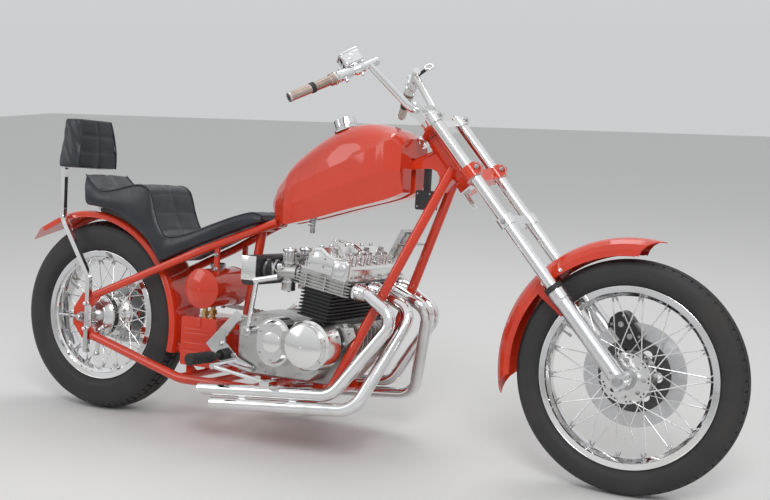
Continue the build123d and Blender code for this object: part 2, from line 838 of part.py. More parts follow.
cross_tubes = [
    # distance ahead of the rear axle, half length
    (414.0, 136.0),
    (538.0, 138.0),
    (690.0, 139.0),
    (900.0, 142.0),
]
stand_pivot = (640.0, 152.0, 112.0)
stand_axis = (0.0, 0.53, 0.848)
stand_plane = Plane(origin=stand_pivot, x_dir=(1, 0, 0), z_dir=stand_axis)
with BuildPart() as frame_crossmembers:
    for ahead, half_length in cross_tubes:
        add(side_cylinder(ahead, rail_height, cross_radius, half_length, -half_length))
    for side in (-1, 1):
        add(
            side_plate(
                [(880, 172), (930, 172), (922, 203.8), (888, 203.8)], side * 96.0 + 8, side * 96.0 - 8,
            )
        )
        add(
            side_plate(
                [(672, 172), (708, 172), (704, 199.8), (676, 199.8)], side * 60.0 + 8, side * 60.0 - 8,
            )
        )
        add(
            side_plate(
                [fender_spot(0.8, -9.8), fender_spot(0.8, -6.8), (380, 208), (416, 180), (404, 170)],
                side * 50.0 + 3, side * 50.0 - 3,
            )
        )
    for turn in (lambda p: p, other_side):
        add(
            round_tube(
                [turn(p) for p in (down_cut, rail_corner, rail_rear, rail_end)],
                [rail_bend_radius, 160.0], frame_tube_radius + weld_gap,
            ),
            mode=Mode.SUBTRACT,
        )
    add(round_tube([post_top, post_foot], 0, frame_tube_radius + weld_gap), mode=Mode.SUBTRACT)

stand_pin_radius = 5.0
stand_eye_half = 8.0
with BuildPart() as stand_bracket:
    with Locations((stand_pivot[0], stand_pivot[1] + 8.0, 142.0)):
        Box(24.0, 14.0, 42.0)
    with BuildSketch(stand_plane.offset(9.6)):
        Circle(16.0)
    extrude(amount=7.0)
    add(
        round_tube(
            [down_cut, rail_corner, rail_rear, rail_end], [rail_bend_radius, 160.0],
            frame_tube_radius + weld_gap,
        ),
        mode=Mode.SUBTRACT,
    )
    with BuildSketch(stand_plane.offset(-9.6)):
        Circle(40.0)
    extrude(amount=19.2, mode=Mode.SUBTRACT)
    with BuildSketch(stand_plane.offset(-15.0)):
        Circle(stand_pin_radius)
    extrude(amount=26.0)
    with BuildSketch(stand_plane.offset(-15.0)):
        RegularPolygon(9.0, 6)
    extrude(amount=5.6)

# Rear axle with nuts, spacer and the two chain adjusters
with BuildPart() as rear_axle:
    add(side_cylinder(0, rear_axle_height, axle_radius, plate_offset + 26, -plate_offset - 26))
    for side in (-1, 1):
        outer_face = side * (plate_offset + plate_thickness / 2 + weld_gap)
        with BuildSketch(
            Plane(origin=(0, outer_face, rear_axle_height), x_dir=(1, 0, 0), z_dir=(0, side, 0))
        ):
            Circle(17.0)
        extrude(amount=4.0)
        with BuildSketch(
            Plane(origin=(0, outer_face, rear_axle_height), x_dir=(1, 0, 0), z_dir=(0, side, 0))
        ):
            RegularPolygon(15.0, 6)
        extrude(amount=16.0)
        start = Plane(origin=(-8, outer_face + side * 7, rear_axle_height), x_dir=(0, 1, 0), z_dir=(-1, 0, 0))
        with BuildSketch(start):
            Circle(5.0)
        extrude(amount=86.0)
        with BuildSketch(start.offset(33.0)):
            Rectangle(14.0, 14.0)
        extrude(amount=8.0)
    add(
        side_cylinder(
            0, rear_axle_height, 14.0, plate_offset - plate_thickness / 2 - weld_gap,
            chain_side + sprocket_thickness / 2 + 0.6,
        )
    )

# Engine: crankcase, side covers, finned block and head, cam cover
crank_x = 927.0
crank_z = 333.0
case_half = 155.0
case_front_half = 92.0
gearbox_half = 72.0
cast_corner = 10.0
cast_edge = 5.0
front_sprocket_place = (700.0, 325.0)
front_sprocket_radius = 33.0
with BuildPart() as crankcase:
    add(
        side_plate(
            [
                (612, 256), (612, 376), (650, 396), (860, 398), (984, 396), (998, 372), (998, 300),
                (984, 262), (946, 204), (900, 204), (700, 200), (644, 214),
            ],
            gearbox_half, -gearbox_half,
        )
    )
    add(
        side_plate(
            [(800, 206), (940, 206), (974, 262), (990, 300), (990, 372), (978, 394), (800, 396)], 104.0,
            -104.0,
        )
    )
    add(
        side_plate(
            [
                (880, 204), (946, 204), (996, 262), (1014, 306), (1028, 336), (1028, 378), (1012, 397),
                (880, 397),
            ],
            case_front_half, -case_front_half,
        )
    )
    add(
        cast_plate(
            [
                (640, 222), (640, 392), (880, 397), (950, 395), (966, 366),
                (960, 300), (936, 240), (900, 214), (690, 214),
            ],
            cast_corner, cast_edge, -gearbox_half, -case_half, False,
        )
    )
    add(
        cast_plate(
            [(775, 216), (775, 397), (880, 397), (950, 395), (966, 366), (960, 300), (936, 240), (900, 214)],
            cast_corner, cast_edge, case_half, gearbox_half, True,
        )
    )
    for fin_side in (-72.0, -48.0, -24.0, 0.0, 24.0, 48.0, 72.0):
        add(
            side_plate(
                [(1004, 300), (1022, 300), (1036, 334), (1036, 380), (1012, 396)], fin_side + 2,
                fin_side - 2,
            )
        )
    add(side_cylinder(*front_sprocket_place, front_sprocket_radius, chain_side + 4, gearbox_half))
    for side in (-1, 1):
        add(
            side_plate(
                [(950, 318), (950, 382), (1036, 392), (1046, 366), (996, 316)],
                side * 139.0 + 3, side * 139.0 - 3,
            )
        )
    for turn in (lambda p: p, other_side):
        add(
            round_tube([turn(down_mark), turn(rail_corner)], 0, frame_tube_radius + weld_gap),
            mode=Mode.SUBTRACT,
        )


cylinder_tilt = 9.3
engine_place = Plane(
    origin=(935, 0, 398),
    x_dir=(cos(radians(cylinder_tilt)), 0, -sin(radians(cylinder_tilt))),
    z_dir=(sin(radians(cylinder_tilt)), 0, cos(radians(cylinder_tilt))),
).location


def domed_cover(radius, base_side, rim_side, crown_side):
    """A round cover with a domed face, about the Y axis."""
    rise = crown_side - rim_side
    curve = (radius ** 2 + rise ** 2) / (2 * rise)
    half_turn = asin(radius / abs(curve)) / 2
    middle = (abs(curve) * sin(half_turn), crown_side - curve * (1 - cos(half_turn)))
    with BuildPart() as dome:
        with BuildSketch(Plane.XY):
            with BuildLine():
                Line((0, base_side), (radius, base_side))
                Line((radius, base_side), (radius, rim_side))
                ThreePointArc((radius, rim_side), middle, (0, crown_side))
                Line((0, crown_side), (0, base_side))
            make_face()
        revolve(axis=Axis.Y)
    return dome.part


cover_bulge = 79.0
cover_dome_radius = 62.0
cover_stand = 73.0
second_cover = (803.0, 330.0)
kick_shaft = (714.0, 356.0)
kick_shaft_end = case_half + 51.0
with BuildPart() as covers_right:
    cover_face = case_half + cover_stand
    with BuildSketch(Plane.XZ.offset(case_half + weld_gap)):
        with Locations((crank_x, crank_z)):
            Circle(cover_bulge)
    extrude(amount=cover_stand - weld_gap - 8.0, taper=3.0)
    with BuildSketch(Plane.XZ.offset(cover_face - 8.0)):
        with Locations((crank_x, crank_z)):
            Circle(cover_bulge - 4.0)
    extrude(amount=8.0, taper=35.0)
    add(
        Location((crank_x, 0, crank_z))
        * domed_cover(cover_dome_radius, -cover_face + 4.0, -cover_face - 18.0, -cover_face - 30.0)
    )
    with BuildSketch(Plane.XZ.offset(case_half + weld_gap)):
        with Locations(second_cover):
            SlotOverall(148.0, 118.0, rotation=90)
        with Locations((crank_x, crank_z)):
            Circle(cover_bulge + 2.5, mode=Mode.SUBTRACT)
    extrude(amount=54.0)
    with BuildSketch(Plane.XZ.offset(case_half + weld_gap + 54.0)):
        with Locations(second_cover):
            SlotOverall(134.0, 104.0, rotation=90)
        with Locations((crank_x, crank_z)):
            Circle(cover_bulge + 6.0, mode=Mode.SUBTRACT)
    extrude(amount=12.0, taper=30.0)
    add(side_cylinder(*kick_shaft, 15.0, -case_half - weld_gap, -kick_shaft_end))
    with Locations(engine_place * Location((-20.0, 0, 8.7))):
        Box(116.0, 377.0, 120.0, align=(Align.CENTER, Align.CENTER, Align.MIN), mode=Mode.SUBTRACT)

with BuildPart() as covers_left:
    add(
        Location((crank_x, 0, crank_z))
        * domed_cover(78.0, case_half + weld_gap, case_half + 45.0, case_half + 59.0)
    )
    add(
        cast_plate(
            [(634, 262), (634, 382), (660, 400), (774.8, 400), (774.8, 222), (690, 222)],
            cast_corner, cast_edge, case_half + 8, 110.0, True,
        )
    )
    with Locations(engine_place * Location((-20.0, 0, 8.7))):
        Box(116.0, 377.0, 120.0, align=(Align.CENTER, Align.CENTER, Align.MIN), mode=Mode.SUBTRACT)

block_top = 97.0
head_top = 148.0
cover_top = 222.0
port_up = 120.0
port_face = 92.0
bores = [-147.0, -50.0, 50.0, 147.0]

# like fins: height of the first, pitch, thickness, rear, front, half width
fin_table = {
    "block": (12.0, 10.8, 3.0, -75.0, 35.0, 187.0),
    "head": (101.0, 9.4, 3.2, -104.0, 86.0, 190.0),
}
block_fin_count = 8
head_fin_count = 5


def fins(count, first, pitch, thickness, rear, front, half_width):
    """Flat cooling fins stacked along the cylinders."""
    with BuildPart() as stack:
        for number in range(count):
            with BuildSketch(Plane.XY.offset(first + number * pitch)):
                with Locations(((rear + front) / 2, 0)):
                    RectangleRounded(front - rear, 2 * half_width, 7.0)
            extrude(amount=thickness)
    return stack.part


with BuildPart() as cylinder_block:
    with Locations((-20, 0, 9)):
        Box(90.0, 354.0, block_top - 9.0 - weld_gap, align=(Align.CENTER, Align.CENTER, Align.MIN))
    add(fins(block_fin_count, *fin_table["block"]))

with BuildPart() as cylinder_head:
    with Locations((-9, 0, block_top + weld_gap)):
        Box(164.0, 356.0, head_top - block_top - 2 * weld_gap, align=(Align.CENTER, Align.CENTER, Align.MIN))
    add(fins(head_fin_count, *fin_table["head"]))
    for bore_side in bores:
        with Locations((0, bore_side, port_up)):
            Cylinder(22.0, port_face, rotation=(0, 90, 0), align=(Align.CENTER, Align.CENTER, Align.MIN))
            Cylinder(22.0, 104.0, rotation=(0, -90, 0), align=(Align.CENTER, Align.CENTER, Align.MIN))
    for ahead in (-64.0, 2.0, 66.0):
        with Locations((ahead, 0, 98.0)):
            Box(4.0, 378.0, 44.0, align=(Align.CENTER, Align.CENTER, Align.MIN))

with BuildPart() as cam_cover:
    with BuildSketch(Plane.XZ.offset(-172.0)) as cam_profile:
        with BuildLine():
            Polyline(
                (-84, head_top), (-84, 192), (-66, 216), (-40, cover_top), (-12, 206), (8, 202),
                (30, 206), (52, 196), (70, 178), (70, head_top), close=True,
            )
        make_face()
        fillet(cam_profile.vertices().sort_by(Axis.Y)[2:], 7.0)
    extrude(amount=344.0)
    chamfer(
        cam_cover.faces().filter_by(Axis.Y).edges().filter_by(
            lambda edge: edge.center().Z > head_top + 4
        ),
        6.0,
    )
    with Locations((-6, 0, head_top)):
        Box(176.0, 352.0, 7.0, align=(Align.CENTER, Align.CENTER, Align.MIN))
    for bore_side in bores:
        with Locations((-6, bore_side, 190.0)):
            Cylinder(13.0, 24.0, align=(Align.CENTER, Align.CENTER, Align.MIN))
        for valve_side in (-21.0, 21.0):
            with Locations((48, bore_side + valve_side, 160.0)):
                Cylinder(15.0, 52.0, align=(Align.CENTER, Align.CENTER, Align.MIN))
                Cylinder(10.0, 58.0, align=(Align.CENTER, Align.CENTER, Align.MIN))

# Intake: carburettors, rubbers and the filter box across the frame
carb_height = 540.0
carb_front = 842.0
carb_length = 65.0
filter_rubber_length = 52.0
carb_rear = carb_front - carb_length
filter_front = carb_rear - filter_rubber_length
with BuildPart() as carburettors:
    for bore_side in bores:
        with Locations((carb_rear, bore_side, carb_height)):
            Cylinder(
                25.0, carb_front - carb_rear, rotation=(0, 90, 0),
                align=(Align.CENTER, Align.CENTER, Align.MIN),
            )
        with Locations((808.0, bore_side, 484.0)):
            Cylinder(21.0, 56.0, align=(Align.CENTER, Align.CENTER, Align.MIN))
        with Locations((808.0, bore_side, carb_height)):
            Cylinder(19.0, 62.0, align=(Align.CENTER, Align.CENTER, Align.MIN))
    add(side_cylinder(800.0, 575.0, 6.0, 160.0, -160.0))

with BuildPart() as intake_boots:
    for bore_side in bores:
        with Locations((filter_front + weld_gap, bore_side, carb_height)):
            Cylinder(
                27.0, carb_rear - filter_front - 2 * weld_gap, rotation=(0, 90, 0),
                align=(Align.CENTER, Align.CENTER, Align.MIN),
            )
        with Locations((carb_front + weld_gap, bore_side, carb_height - 2)):
            Cylinder(23.0, 34.0, rotation=(0, 90, 0), align=(Align.CENTER, Align.CENTER, Align.MIN))
    with Locations(engine_place * Location((-104.0 - weld_gap, 0, 60.0))):
        Box(120.0, 400.0, 120.0, align=(Align.MIN, Align.CENTER, Align.MIN), mode=Mode.SUBTRACT)

with BuildPart() as air_filter:
    with BuildSketch(Plane.XZ.offset(-205.0)):
        with Locations((700.0, 538.0)):
            RectangleRounded(50.0, 90.0, 12.0)
    extrude(amount=410.0)

# Exhaust: two pipes on each side, cut on the slant at the tips
pipe_radius = 19.0
pipe_bore = 17.0
port_x = 935 + (port_face + weld_gap) * cos(radians(cylinder_tilt)) + port_up * sin(radians(cylinder_tilt))
port_z = 398 - (port_face + weld_gap) * sin(radians(cylinder_tilt)) + port_up * cos(radians(cylinder_tilt))
exhaust_runs = [
    # cylinder side, elbow, lower bend, tip
    (147.0, (1178.0, 151.0, 431.0), (1005.0, 198.0, 192.0), (540.0, 204.0, 156.0)),
    (50.0, (1186.0, 56.0, 448.0), (1085.0, 202.0, 158.0), (590.0, 207.0, 117.0)),
]


def exhaust_pipe(cylinder_side, elbow, bend, tip):
    lead_x = port_x + 34.0 * cos(radians(cylinder_tilt))
    lead_z = port_z - 34.0 * sin(radians(cylinder_tilt))
    with BuildPart() as pipe:
        add(
            round_tube(
                [(port_x, cylinder_side, port_z), (lead_x, cylinder_side, lead_z), elbow, bend, tip],
                [40.0, 48.0, 75.0],
                pipe_radius,
            )
        )
        add(round_tube([along(tip, bend, 0.30), along(tip, bend, -0.1)], 0, pipe_bore), mode=Mode.SUBTRACT)
        with Locations(Location(tip) * Location((0, 0, 0), (0, -50, 0))):
            Box(60.0, 120.0, 200.0, align=(Align.MAX, Align.CENTER, Align.CENTER), mode=Mode.SUBTRACT)
        with BuildSketch(
            Plane(
                origin=(port_x, cylinder_side, port_z),
                x_dir=(0, 1, 0),
                z_dir=(cos(radians(cylinder_tilt)), 0, -sin(radians(cylinder_tilt))),
            )
        ):
            SlotOverall(76.0, 50.0)
        extrude(amount=8.0)
    return pipe.part


with BuildPart() as exhaust_left:
    for run in exhaust_runs:
        add(exhaust_pipe(*run))
    for ahead in (700.0, 880.0):
        rail_gap = ahead * 0.0774 - 1005 * 0.0774 + 192.0
        with Locations((ahead, rail_spread + frame_tube_radius - 2.0, rail_height)):
            Box(24.0, 22.0, 12.0, align=(Align.CENTER, Align.MIN, Align.CENTER))
        with Locations((ahead, 204.0, rail_gap - 18.0)):
            Box(24.0, 8.0, 7.0, align=(Align.CENTER, Align.CENTER, Align.MAX))
    add(
        round_tube(
            [down_cut, rail_corner, rail_rear, rail_end], [rail_bend_radius, 160.0],
            frame_tube_radius + weld_gap,
        ),
        mode=Mode.SUBTRACT,
    )
exhaust_right_part = mirror(exhaust_left.part, about=Plane.XZ)

# Seat, soft: its side outline between the fender, the stays and the tank
seat_half_width = 125.0
seat_top = [
    (-35, 798), (6, 764), (42, 747), (105, 756), (159, 770), (206, 776), (238, 763), (253, 734), (265, 692),
    (288, 639), (320, 609), (395, 628), (483, 665), (557, 696), (606, 712), (636, 702),
]
seat_base_radius = rear_fender_radius + seat_to_fender
seat_bottom = [(640, 679)] + [
    (
        fender_centre[0] + seat_base_radius * cos(radians(angle)),
        fender_centre[1] + seat_base_radius * sin(radians(angle)),
    )
    for angle in (34, 42, 50, 58, 66, 74, 82, 89.5)
]
with BuildPart() as seat:
    add(side_plate(seat_top + seat_bottom, seat_half_width, -seat_half_width))
    with BuildSketch(Plane.XY.offset(450.0)):
        Polygon(
            (-60, -118), (-10, -125), (330, -125), (430, -117), (560, -88), (640, -60),
            (640, 60), (560, 88), (430, 117), (330, 125), (-10, 125), (-60, 118),
            align=None,
        )
    extrude(amount=400.0, mode=Mode.INTERSECT)

seat_pan_half = 68.0
pan_arc = [37, 45, 53, 61, 69, 77, 85]
with BuildPart() as seat_pan:
    add(
        side_plate(
            [
                (
                    fender_centre[0] + radius * cos(radians(angle)),
                    fender_centre[1] + radius * sin(radians(angle)),
                )
                for radius, angles in (
                    (seat_base_radius - 6.0, pan_arc), (rear_fender_radius - 8.0, list(reversed(pan_arc))),
                )
                for angle in angles
            ],
            seat_pan_half, -seat_pan_half,
        )
    )
    add(
        side_cylinder(*fender_centre, rear_fender_radius + weld_gap, seat_pan_half, -seat_pan_half),
        mode=Mode.SUBTRACT,
    )

# Rear fender: a flat crown with rounded edges and a straight pointed tail
rear_fender_half = 77.5
rear_fender_from = -12.0
rear_fender_to = 118.0
rear_tail_length = 165.0
rear_section = [(-22, 77.5), (-9, 77.5), (-4, 74), (-1, 67), (0, 58)]
rear_section_inner = [(-22, 75), (-10, 75), (-5.8, 72), (-3.4, 66), (-2.5, 57)]
rear_outline = (
    [(r, -y) for r, y in rear_section]
    + [(r, y) for r, y in reversed(rear_section)]
    + [(r, y) for r, y in rear_section_inner]
    + [(r, -y) for r, y in reversed(rear_section_inner)]
)
with BuildPart() as rear_fender:
    add(arched_fender(rear_fender_radius, rear_outline, rear_fender_from, rear_fender_to))
    turn_end = radians(rear_fender_to)
    with BuildSketch(
        Plane(
            origin=(rear_fender_radius * cos(turn_end), 0, rear_fender_radius * sin(turn_end)),
            x_dir=(cos(turn_end), 0, sin(turn_end)),
            z_dir=(-sin(turn_end), 0, cos(turn_end)),
        )
    ):
        Polygon(*rear_outline, align=None)
    extrude(amount=rear_tail_length)
    with BuildSketch(
        Plane(
            origin=(
                rear_fender_radius * cos(turn_end) - rear_tail_length * sin(turn_end), 0,
                rear_fender_radius * sin(turn_end) + rear_tail_length * cos(turn_end),
            ),
            x_dir=(sin(turn_end), 0, -cos(turn_end)),
            z_dir=(cos(turn_end), 0, sin(turn_end)),
        )
    ):
        Polygon((0, 0), (125, 82), (-20, 82), (-20, -82), (125, -82), align=None)
    extrude(amount=60.0, both=True, mode=Mode.SUBTRACT)
rear_fender_place = Location((fender_centre[0], 0, fender_centre[1]))

# Sissy bar: square bar on the axle plates, with a padded back
sissy_square = 16.0
sissy_side = plate_offset + plate_thickness / 2 + weld_gap + sissy_square / 2
sissy_points = [
    (28.0, 205.0, sissy_side), (28.0, 455.0, sissy_side), (-131.0, 645.0, 100.0), (-144.0, 815.0, 88.0),
]


def square_rod(points, bends, size):
    """A square bar along straight runs joined by tangent arcs."""
    with BuildPart() as rod:
        with BuildLine() as run:
            FilletPolyline(*points, radius=bends)
        with BuildSketch(Plane(origin=run.line @ 0, x_dir=(1, 0, 0), z_dir=run.line % 0)):
            Rectangle(size, size)
        sweep()
    return rod.part


with BuildPart() as sissy_bar:
    for side in (-1, 1):
        add(square_rod([(x, side * y, z) for x, z, y in sissy_points], [60.0, 60.0], sissy_square))
        outer_face = side * (sissy_side + sissy_square / 2)
        for up in (285.0, 369.0):
            with BuildSketch(Plane(origin=(28, outer_face - side, up), x_dir=(1, 0, 0), z_dir=(0, side, 0))):
                Circle(7.0)
            extrude(amount=6.0)
        with BuildSketch(Plane(origin=(-132, side * 77.8, 650), x_dir=(1, 0, 0), z_dir=(0, side, 0))):
            Circle(6.0)
        extrude(amount=19.0)

with BuildPart() as sissy_pad:
    with BuildSketch(Plane.XY.offset(817.0)):
        with Locations((-120.0, 0)):
            RectangleRounded(88.0, 224.0, 18.0)
    with BuildSketch(Plane.XY.offset(870.0)):
        with Locations((-119.0, 0)):
            RectangleRounded(90.0, 212.0, 18.0)
    with BuildSketch(Plane.XY.offset(985.0)):
        with Locations((-124.0, 0)):
            RectangleRounded(74.0, 176.0, 18.0)
    loft(ruled=True)

# Fuel tank: flat facets between creases that rise to a ridge
tank_sections = [
    # distance ahead, ridge height, then half width and height of the upper crease, lower crease and bottom
    (650.0, 751.0, 7.0, 747.0, 8.0, 738.0, 7.0, 728.0),
    (672.0, 799.0, 27.0, 766.0, 31.0, 731.0, 27.0, 697.0),
    (722.0, 861.0, 61.0, 786.0, 64.0, 735.0, 60.0, 679.0),
    (771.0, 906.0, 70.0, 808.0, 73.0, 751.0, 64.0, 688.0),
    (838.0, 953.0, 81.0, 837.0, 84.0, 774.0, 68.0, 705.0),
    (899.0, 984.0, 91.0, 863.0, 94.0, 795.0, 73.0, 723.0),
    (950.0, 999.0, 97.0, 885.0, 100.0, 812.0, 76.0, 738.0),
    (1000.0, 1004.0, 103.0, 907.0, 106.0, 829.0, 80.0, 752.0),
    (1060.0, 998.0, 108.0, 933.0, 111.0, 849.0, 83.0, 768.0),
    (1110.0, 982.0, 111.0, 953.0, 114.0, 866.0, 84.0, 785.0),
    (1136.0, 962.0, 90.0, 934.0, 94.0, 862.0, 66.0, 800.0),
]
# the round back of the tank: share of the way out to the upper crease, and of the way down to it
tank_crown = [(0.40, 0.08), (0.76, 0.40)]
cap_ahead = 899.0
cap_radius = 37.0
cap_seat = 983.0
cap_height = 38.0
cap_tilt = 21.0
cap_plane = Plane(
    origin=(cap_ahead, 0, cap_seat),
    x_dir=(cos(radians(cap_tilt)), 0, sin(radians(cap_tilt))),
    z_dir=(-sin(radians(cap_tilt)), 0, cos(radians(cap_tilt))),
)
with BuildPart() as fuel_tank:
    for ahead, ridge, upper_half, upper, lower_half, lower, bottom_half, bottom in tank_sections:
        with BuildSketch(Plane(origin=(ahead, 0, 0), x_dir=(0, 1, 0), z_dir=(1, 0, 0))):
            left = [(out * upper_half, ridge - down * (ridge - upper)) for out, down in tank_crown]
            left += [(upper_half, upper), (lower_half, lower), (bottom_half, bottom)]
            right = [(-side, height) for side, height in left]
            Polygon((0, ridge), *right, *reversed(left), align=None)
    loft(ruled=True)
    with Locations(cap_plane.offset(-60.0)):
        Cylinder(cap_radius - 4.0, 60.0, align=(Align.CENTER, Align.CENTER, Align.MIN))
    with Locations(cap_plane):
        Cylinder(
            cap_radius + running_gap, 60.0, align=(Align.CENTER, Align.CENTER, Align.MIN),
            mode=Mode.SUBTRACT,
        )
    tunnel_radius = frame_tube_radius + running_gap
    add(
        round_tube(
            [along(neck_joint, seat_junction, -0.1), along(neck_joint, seat_junction, 1.1)], 0,
            tunnel_radius,
        ),
        mode=Mode.SUBTRACT,
    )
    add(
        side_plate([(600, 645.8), (600, 500), (1250, 500), (1250, 938.3)], tunnel_radius, -tunnel_radius),
        mode=Mode.SUBTRACT,
    )
    add(side_plate([(1098, 700), (1098, 884), (1150, 896), (1150, 700)], 17.4, -17.4), mode=Mode.SUBTRACT)
    add(
        round_tube([stay_root, other_side(stay_root)], 0, frame_tube_radius + 1 + running_gap),
        mode=Mode.SUBTRACT,
    )
    add(round_tube([stay_root, stay_cut], 0, stay_radius + running_gap), mode=Mode.SUBTRACT)
    add(
        round_tube([other_side(stay_root), other_side(stay_cut)], 0, stay_radius + running_gap),
        mode=Mode.SUBTRACT,
    )

with BuildPart() as fuel_cap:
    with Locations(cap_plane.offset(weld_gap)):
        Cylinder(cap_radius, 6.0, align=(Align.CENTER, Align.CENTER, Align.MIN))
        Cylinder(cap_radius - 5.0, cap_height - 10.0, align=(Align.CENTER, Align.CENTER, Align.MIN))
    with BuildSketch(cap_plane.offset(10.0)):
        Circle(cap_radius - 1.0)
        with PolarLocations(cap_radius + 3.0, 8):
            Circle(6.0, mode=Mode.SUBTRACT)
    extrude(amount=cap_height - 16.0)

# Oil tank, battery box and the fittings between them
oil_centre = (459.0, 455.0)
oil_radius = 63.0
with BuildPart() as oil_tank:
    add(Location((oil_centre[0], 0, oil_centre[1])) * domed_cover(oil_radius, 0.0, 76.0, 92.0))
    add(Location((oil_centre[0], 0, oil_centre[1])) * domed_cover(oil_radius, 0.0, -106.0, -122.0))
    for side in (-82.0, 78.0):
        with Locations((497.0, side, 500.0)):
            Box(16.0, 10.0, 90.0, align=(Align.CENTER, Align.CENTER, Align.MIN))
    for turn in (lambda p: p, other_side):
        add(round_tube([turn(stay_cut), turn(stay_knee)], 0, stay_radius + weld_gap), mode=Mode.SUBTRACT)
        add(
            round_tube(
                [turn(along(stay_root, stay_knee, 0.2)), turn(along(stay_root, stay_knee, 0.9))], 0,
                stay_radius + weld_gap,
            ),
            mode=Mode.SUBTRACT,
        )

battery_box_size = (392.0, 528.0, -112.0, 60.0, 205.0, 362.0)
with BuildPart() as battery_box:
    with BuildSketch(Plane.XZ.offset(112.0)):
        with Locations((460.0, 283.5)):
            RectangleRounded(136.0, 157.0, 8.0)
    extrude(amount=-172.0)
    for up in (294.0, 262.0):
        with Locations((452.0, -112.0, up)):
            Box(97.0, 6.0, 7.0)
    for side in (-84.0, 20.0):
        with Locations((414.0, side, rail_height)):
            Box(18.0, 18.0, 205.0 - rail_height + 1, align=(Align.CENTER, Align.CENTER, Align.MIN))
    add(side_cylinder(414.0, rail_height, cross_radius + weld_gap, 100.0, -100.0), mode=Mode.SUBTRACT)
    for up in (250.0, 330.0):
        with Locations((526.0, 0, up)):
            Box(40.0, 12.0, 16.0, align=(Align.MIN, Align.CENTER, Align.CENTER))
    add(round_tube([post_top, post_foot], 0, frame_tube_radius + weld_gap), mode=Mode.SUBTRACT)

with BuildPart() as oil_fittings:
    for side in (-74.0, -30.0):
        with Locations((456.0, side, 362.0 + weld_gap)):
            Cylinder(8.0, 29.6, align=(Align.CENTER, Align.CENTER, Align.MIN))
        with BuildSketch(Plane.XY.offset(367.0)):
            with Locations((456.0, side)):
                RegularPolygon(14.0, 6)
        extrude(amount=14.0)

# Regulator and coil box between the downtubes and under the neck
regulator_plane = Plane(origin=(1112, 0, 643), x_dir=(0, 1, 0), z_dir=(0.894, 0, -0.447))
with BuildPart() as regulator:
    with BuildSketch(regulator_plane.offset(-8.0)):
        Rectangle(86.0, 96.0)
    extrude(amount=16.0)
    for across in (-33.0, -22.0, -11.0, 0.0, 11.0, 22.0, 33.0):
        with BuildSketch(regulator_plane.offset(8.0)):
            with Locations((across, 0)):
                Rectangle(4.0, 90.0)
        extrude(amount=12.0)
    for turn in (lambda p: p, other_side):
        add(round_tube([turn((1112, 36, 643)), turn((1172, 70, 650))], 0, 5.0))
    for turn in (lambda p: p, other_side):
        add(
            round_tube([turn(down_mark), turn(rail_corner)], 0, frame_tube_radius + weld_gap),
            mode=Mode.SUBTRACT,
        )

coil_centre = (1184.0, 781.0)
coil_half = 22.0
with BuildPart() as coil_box:
    with BuildSketch(Plane.XZ.offset(-coil_half)):
        with Locations(coil_centre):
            RectangleRounded(54.0, 58.0, 6.0)
    extrude(amount=2 * coil_half)
    add(
        side_plate(
            [
                (coil_centre[0] - 9, coil_centre[1] + 20), (coil_centre[0] - 9, 873.3),
                (coil_centre[0] + 9, 874.8), (coil_centre[0] + 9, coil_centre[1] + 20),
            ],
            8.0, -8.0,
        )
    )

# Foot controls: a plate and a pedal on each side, pegs and the kick lever
foot_plate = [
    (642, 409), (534, 294), (589, 243), (704, 223), (706, 240), (650, 262), (608, 300), (605, 322), (
        665, 395,
    ),
]
foot_plate_near = case_half + 10.0
foot_plate_far = foot_plate_near + 8.0
pedal_side = foot_plate_far + 56.0
with BuildPart() as foot_controls_left:
    add(side_plate(foot_plate, foot_plate_far, foot_plate_near))
    add(side_cylinder(650.0, 382.0, 7.0, foot_plate_near, case_half + 8 + weld_gap))
    add(side_cylinder(694.0, 232.0, 7.0, foot_plate_near, case_half + 8 + weld_gap))
    add(side_cylinder(603.0, 236.0, 9.0, pedal_side + 7, foot_plate_near + 1))
    add(round_tube([(603, pedal_side, 234), (799, pedal_side, 208)], 0, 6.0))
    with Locations((806.0, pedal_side + 3, 209.0)):
        Box(34.0, 46.0, 12.0)
with BuildPart() as foot_controls:
    add(foot_controls_left.part)
    add(mirror(foot_controls_left.part, about=Plane.XZ, mode=Mode.PRIVATE))
    add(side_cylinder(650.0, 382.0, 7.0, -case_half - weld_gap, -foot_plate_near))
    add(side_cylinder(694.0, 232.0, 7.0, -case_half - weld_gap, -foot_plate_near))

with BuildPart() as foot_pegs:
    for turn in (lambda p: p, other_side):
        add(
            round_tube(
                [turn((575, foot_plate_far + 19, 258)), turn((562, foot_plate_far + 127, 258))], 0,
                16.0,
            )
        )
        add(
            round_tube(
                [turn((577, foot_plate_far + 0.8, 258)), turn((575, foot_plate_far + 20, 258))], 0, 9.0,
            )
        )

with BuildPart() as kick_lever:
    lever_side = -kick_shaft_end - 12.0
    add(side_cylinder(*kick_shaft, 16.0, -kick_shaft_end - weld_gap, -kick_shaft_end - 20.0))
    add(round_tube([(kick_shaft[0], lever_side, kick_shaft[1]), (743, lever_side - 7, 512)], 0, 7.5))
    add(round_tube([(736, lever_side - 8, 511), (820, lever_side - 8, 529)], 0, 9.0))

# Chain: a closed loop about both sprockets, with its links in its outline
chain_half_width = 9.0
roller_half_width = 5.5
chain_height = 14.0
roller_height = 10.5
link_waist = 2.4
chain_clear = 0.4
rear_sprocket_place = (0.0, rear_axle_height)
sprocket_step = sprocket_radius - front_sprocket_radius
sprocket_span = (
    (front_sprocket_place[0] - rear_sprocket_place[0]) ** 2
    + (front_sprocket_place[1] - rear_sprocket_place[1]) ** 2
) ** 0.5
sprocket_line = atan2(
    front_sprocket_place[1] - rear_sprocket_place[1], front_sprocket_place[0] - rear_sprocket_place[0]
)
wrap = acos(sprocket_step / sprocket_span)
straight_run = sprocket_span * sin(wrap)


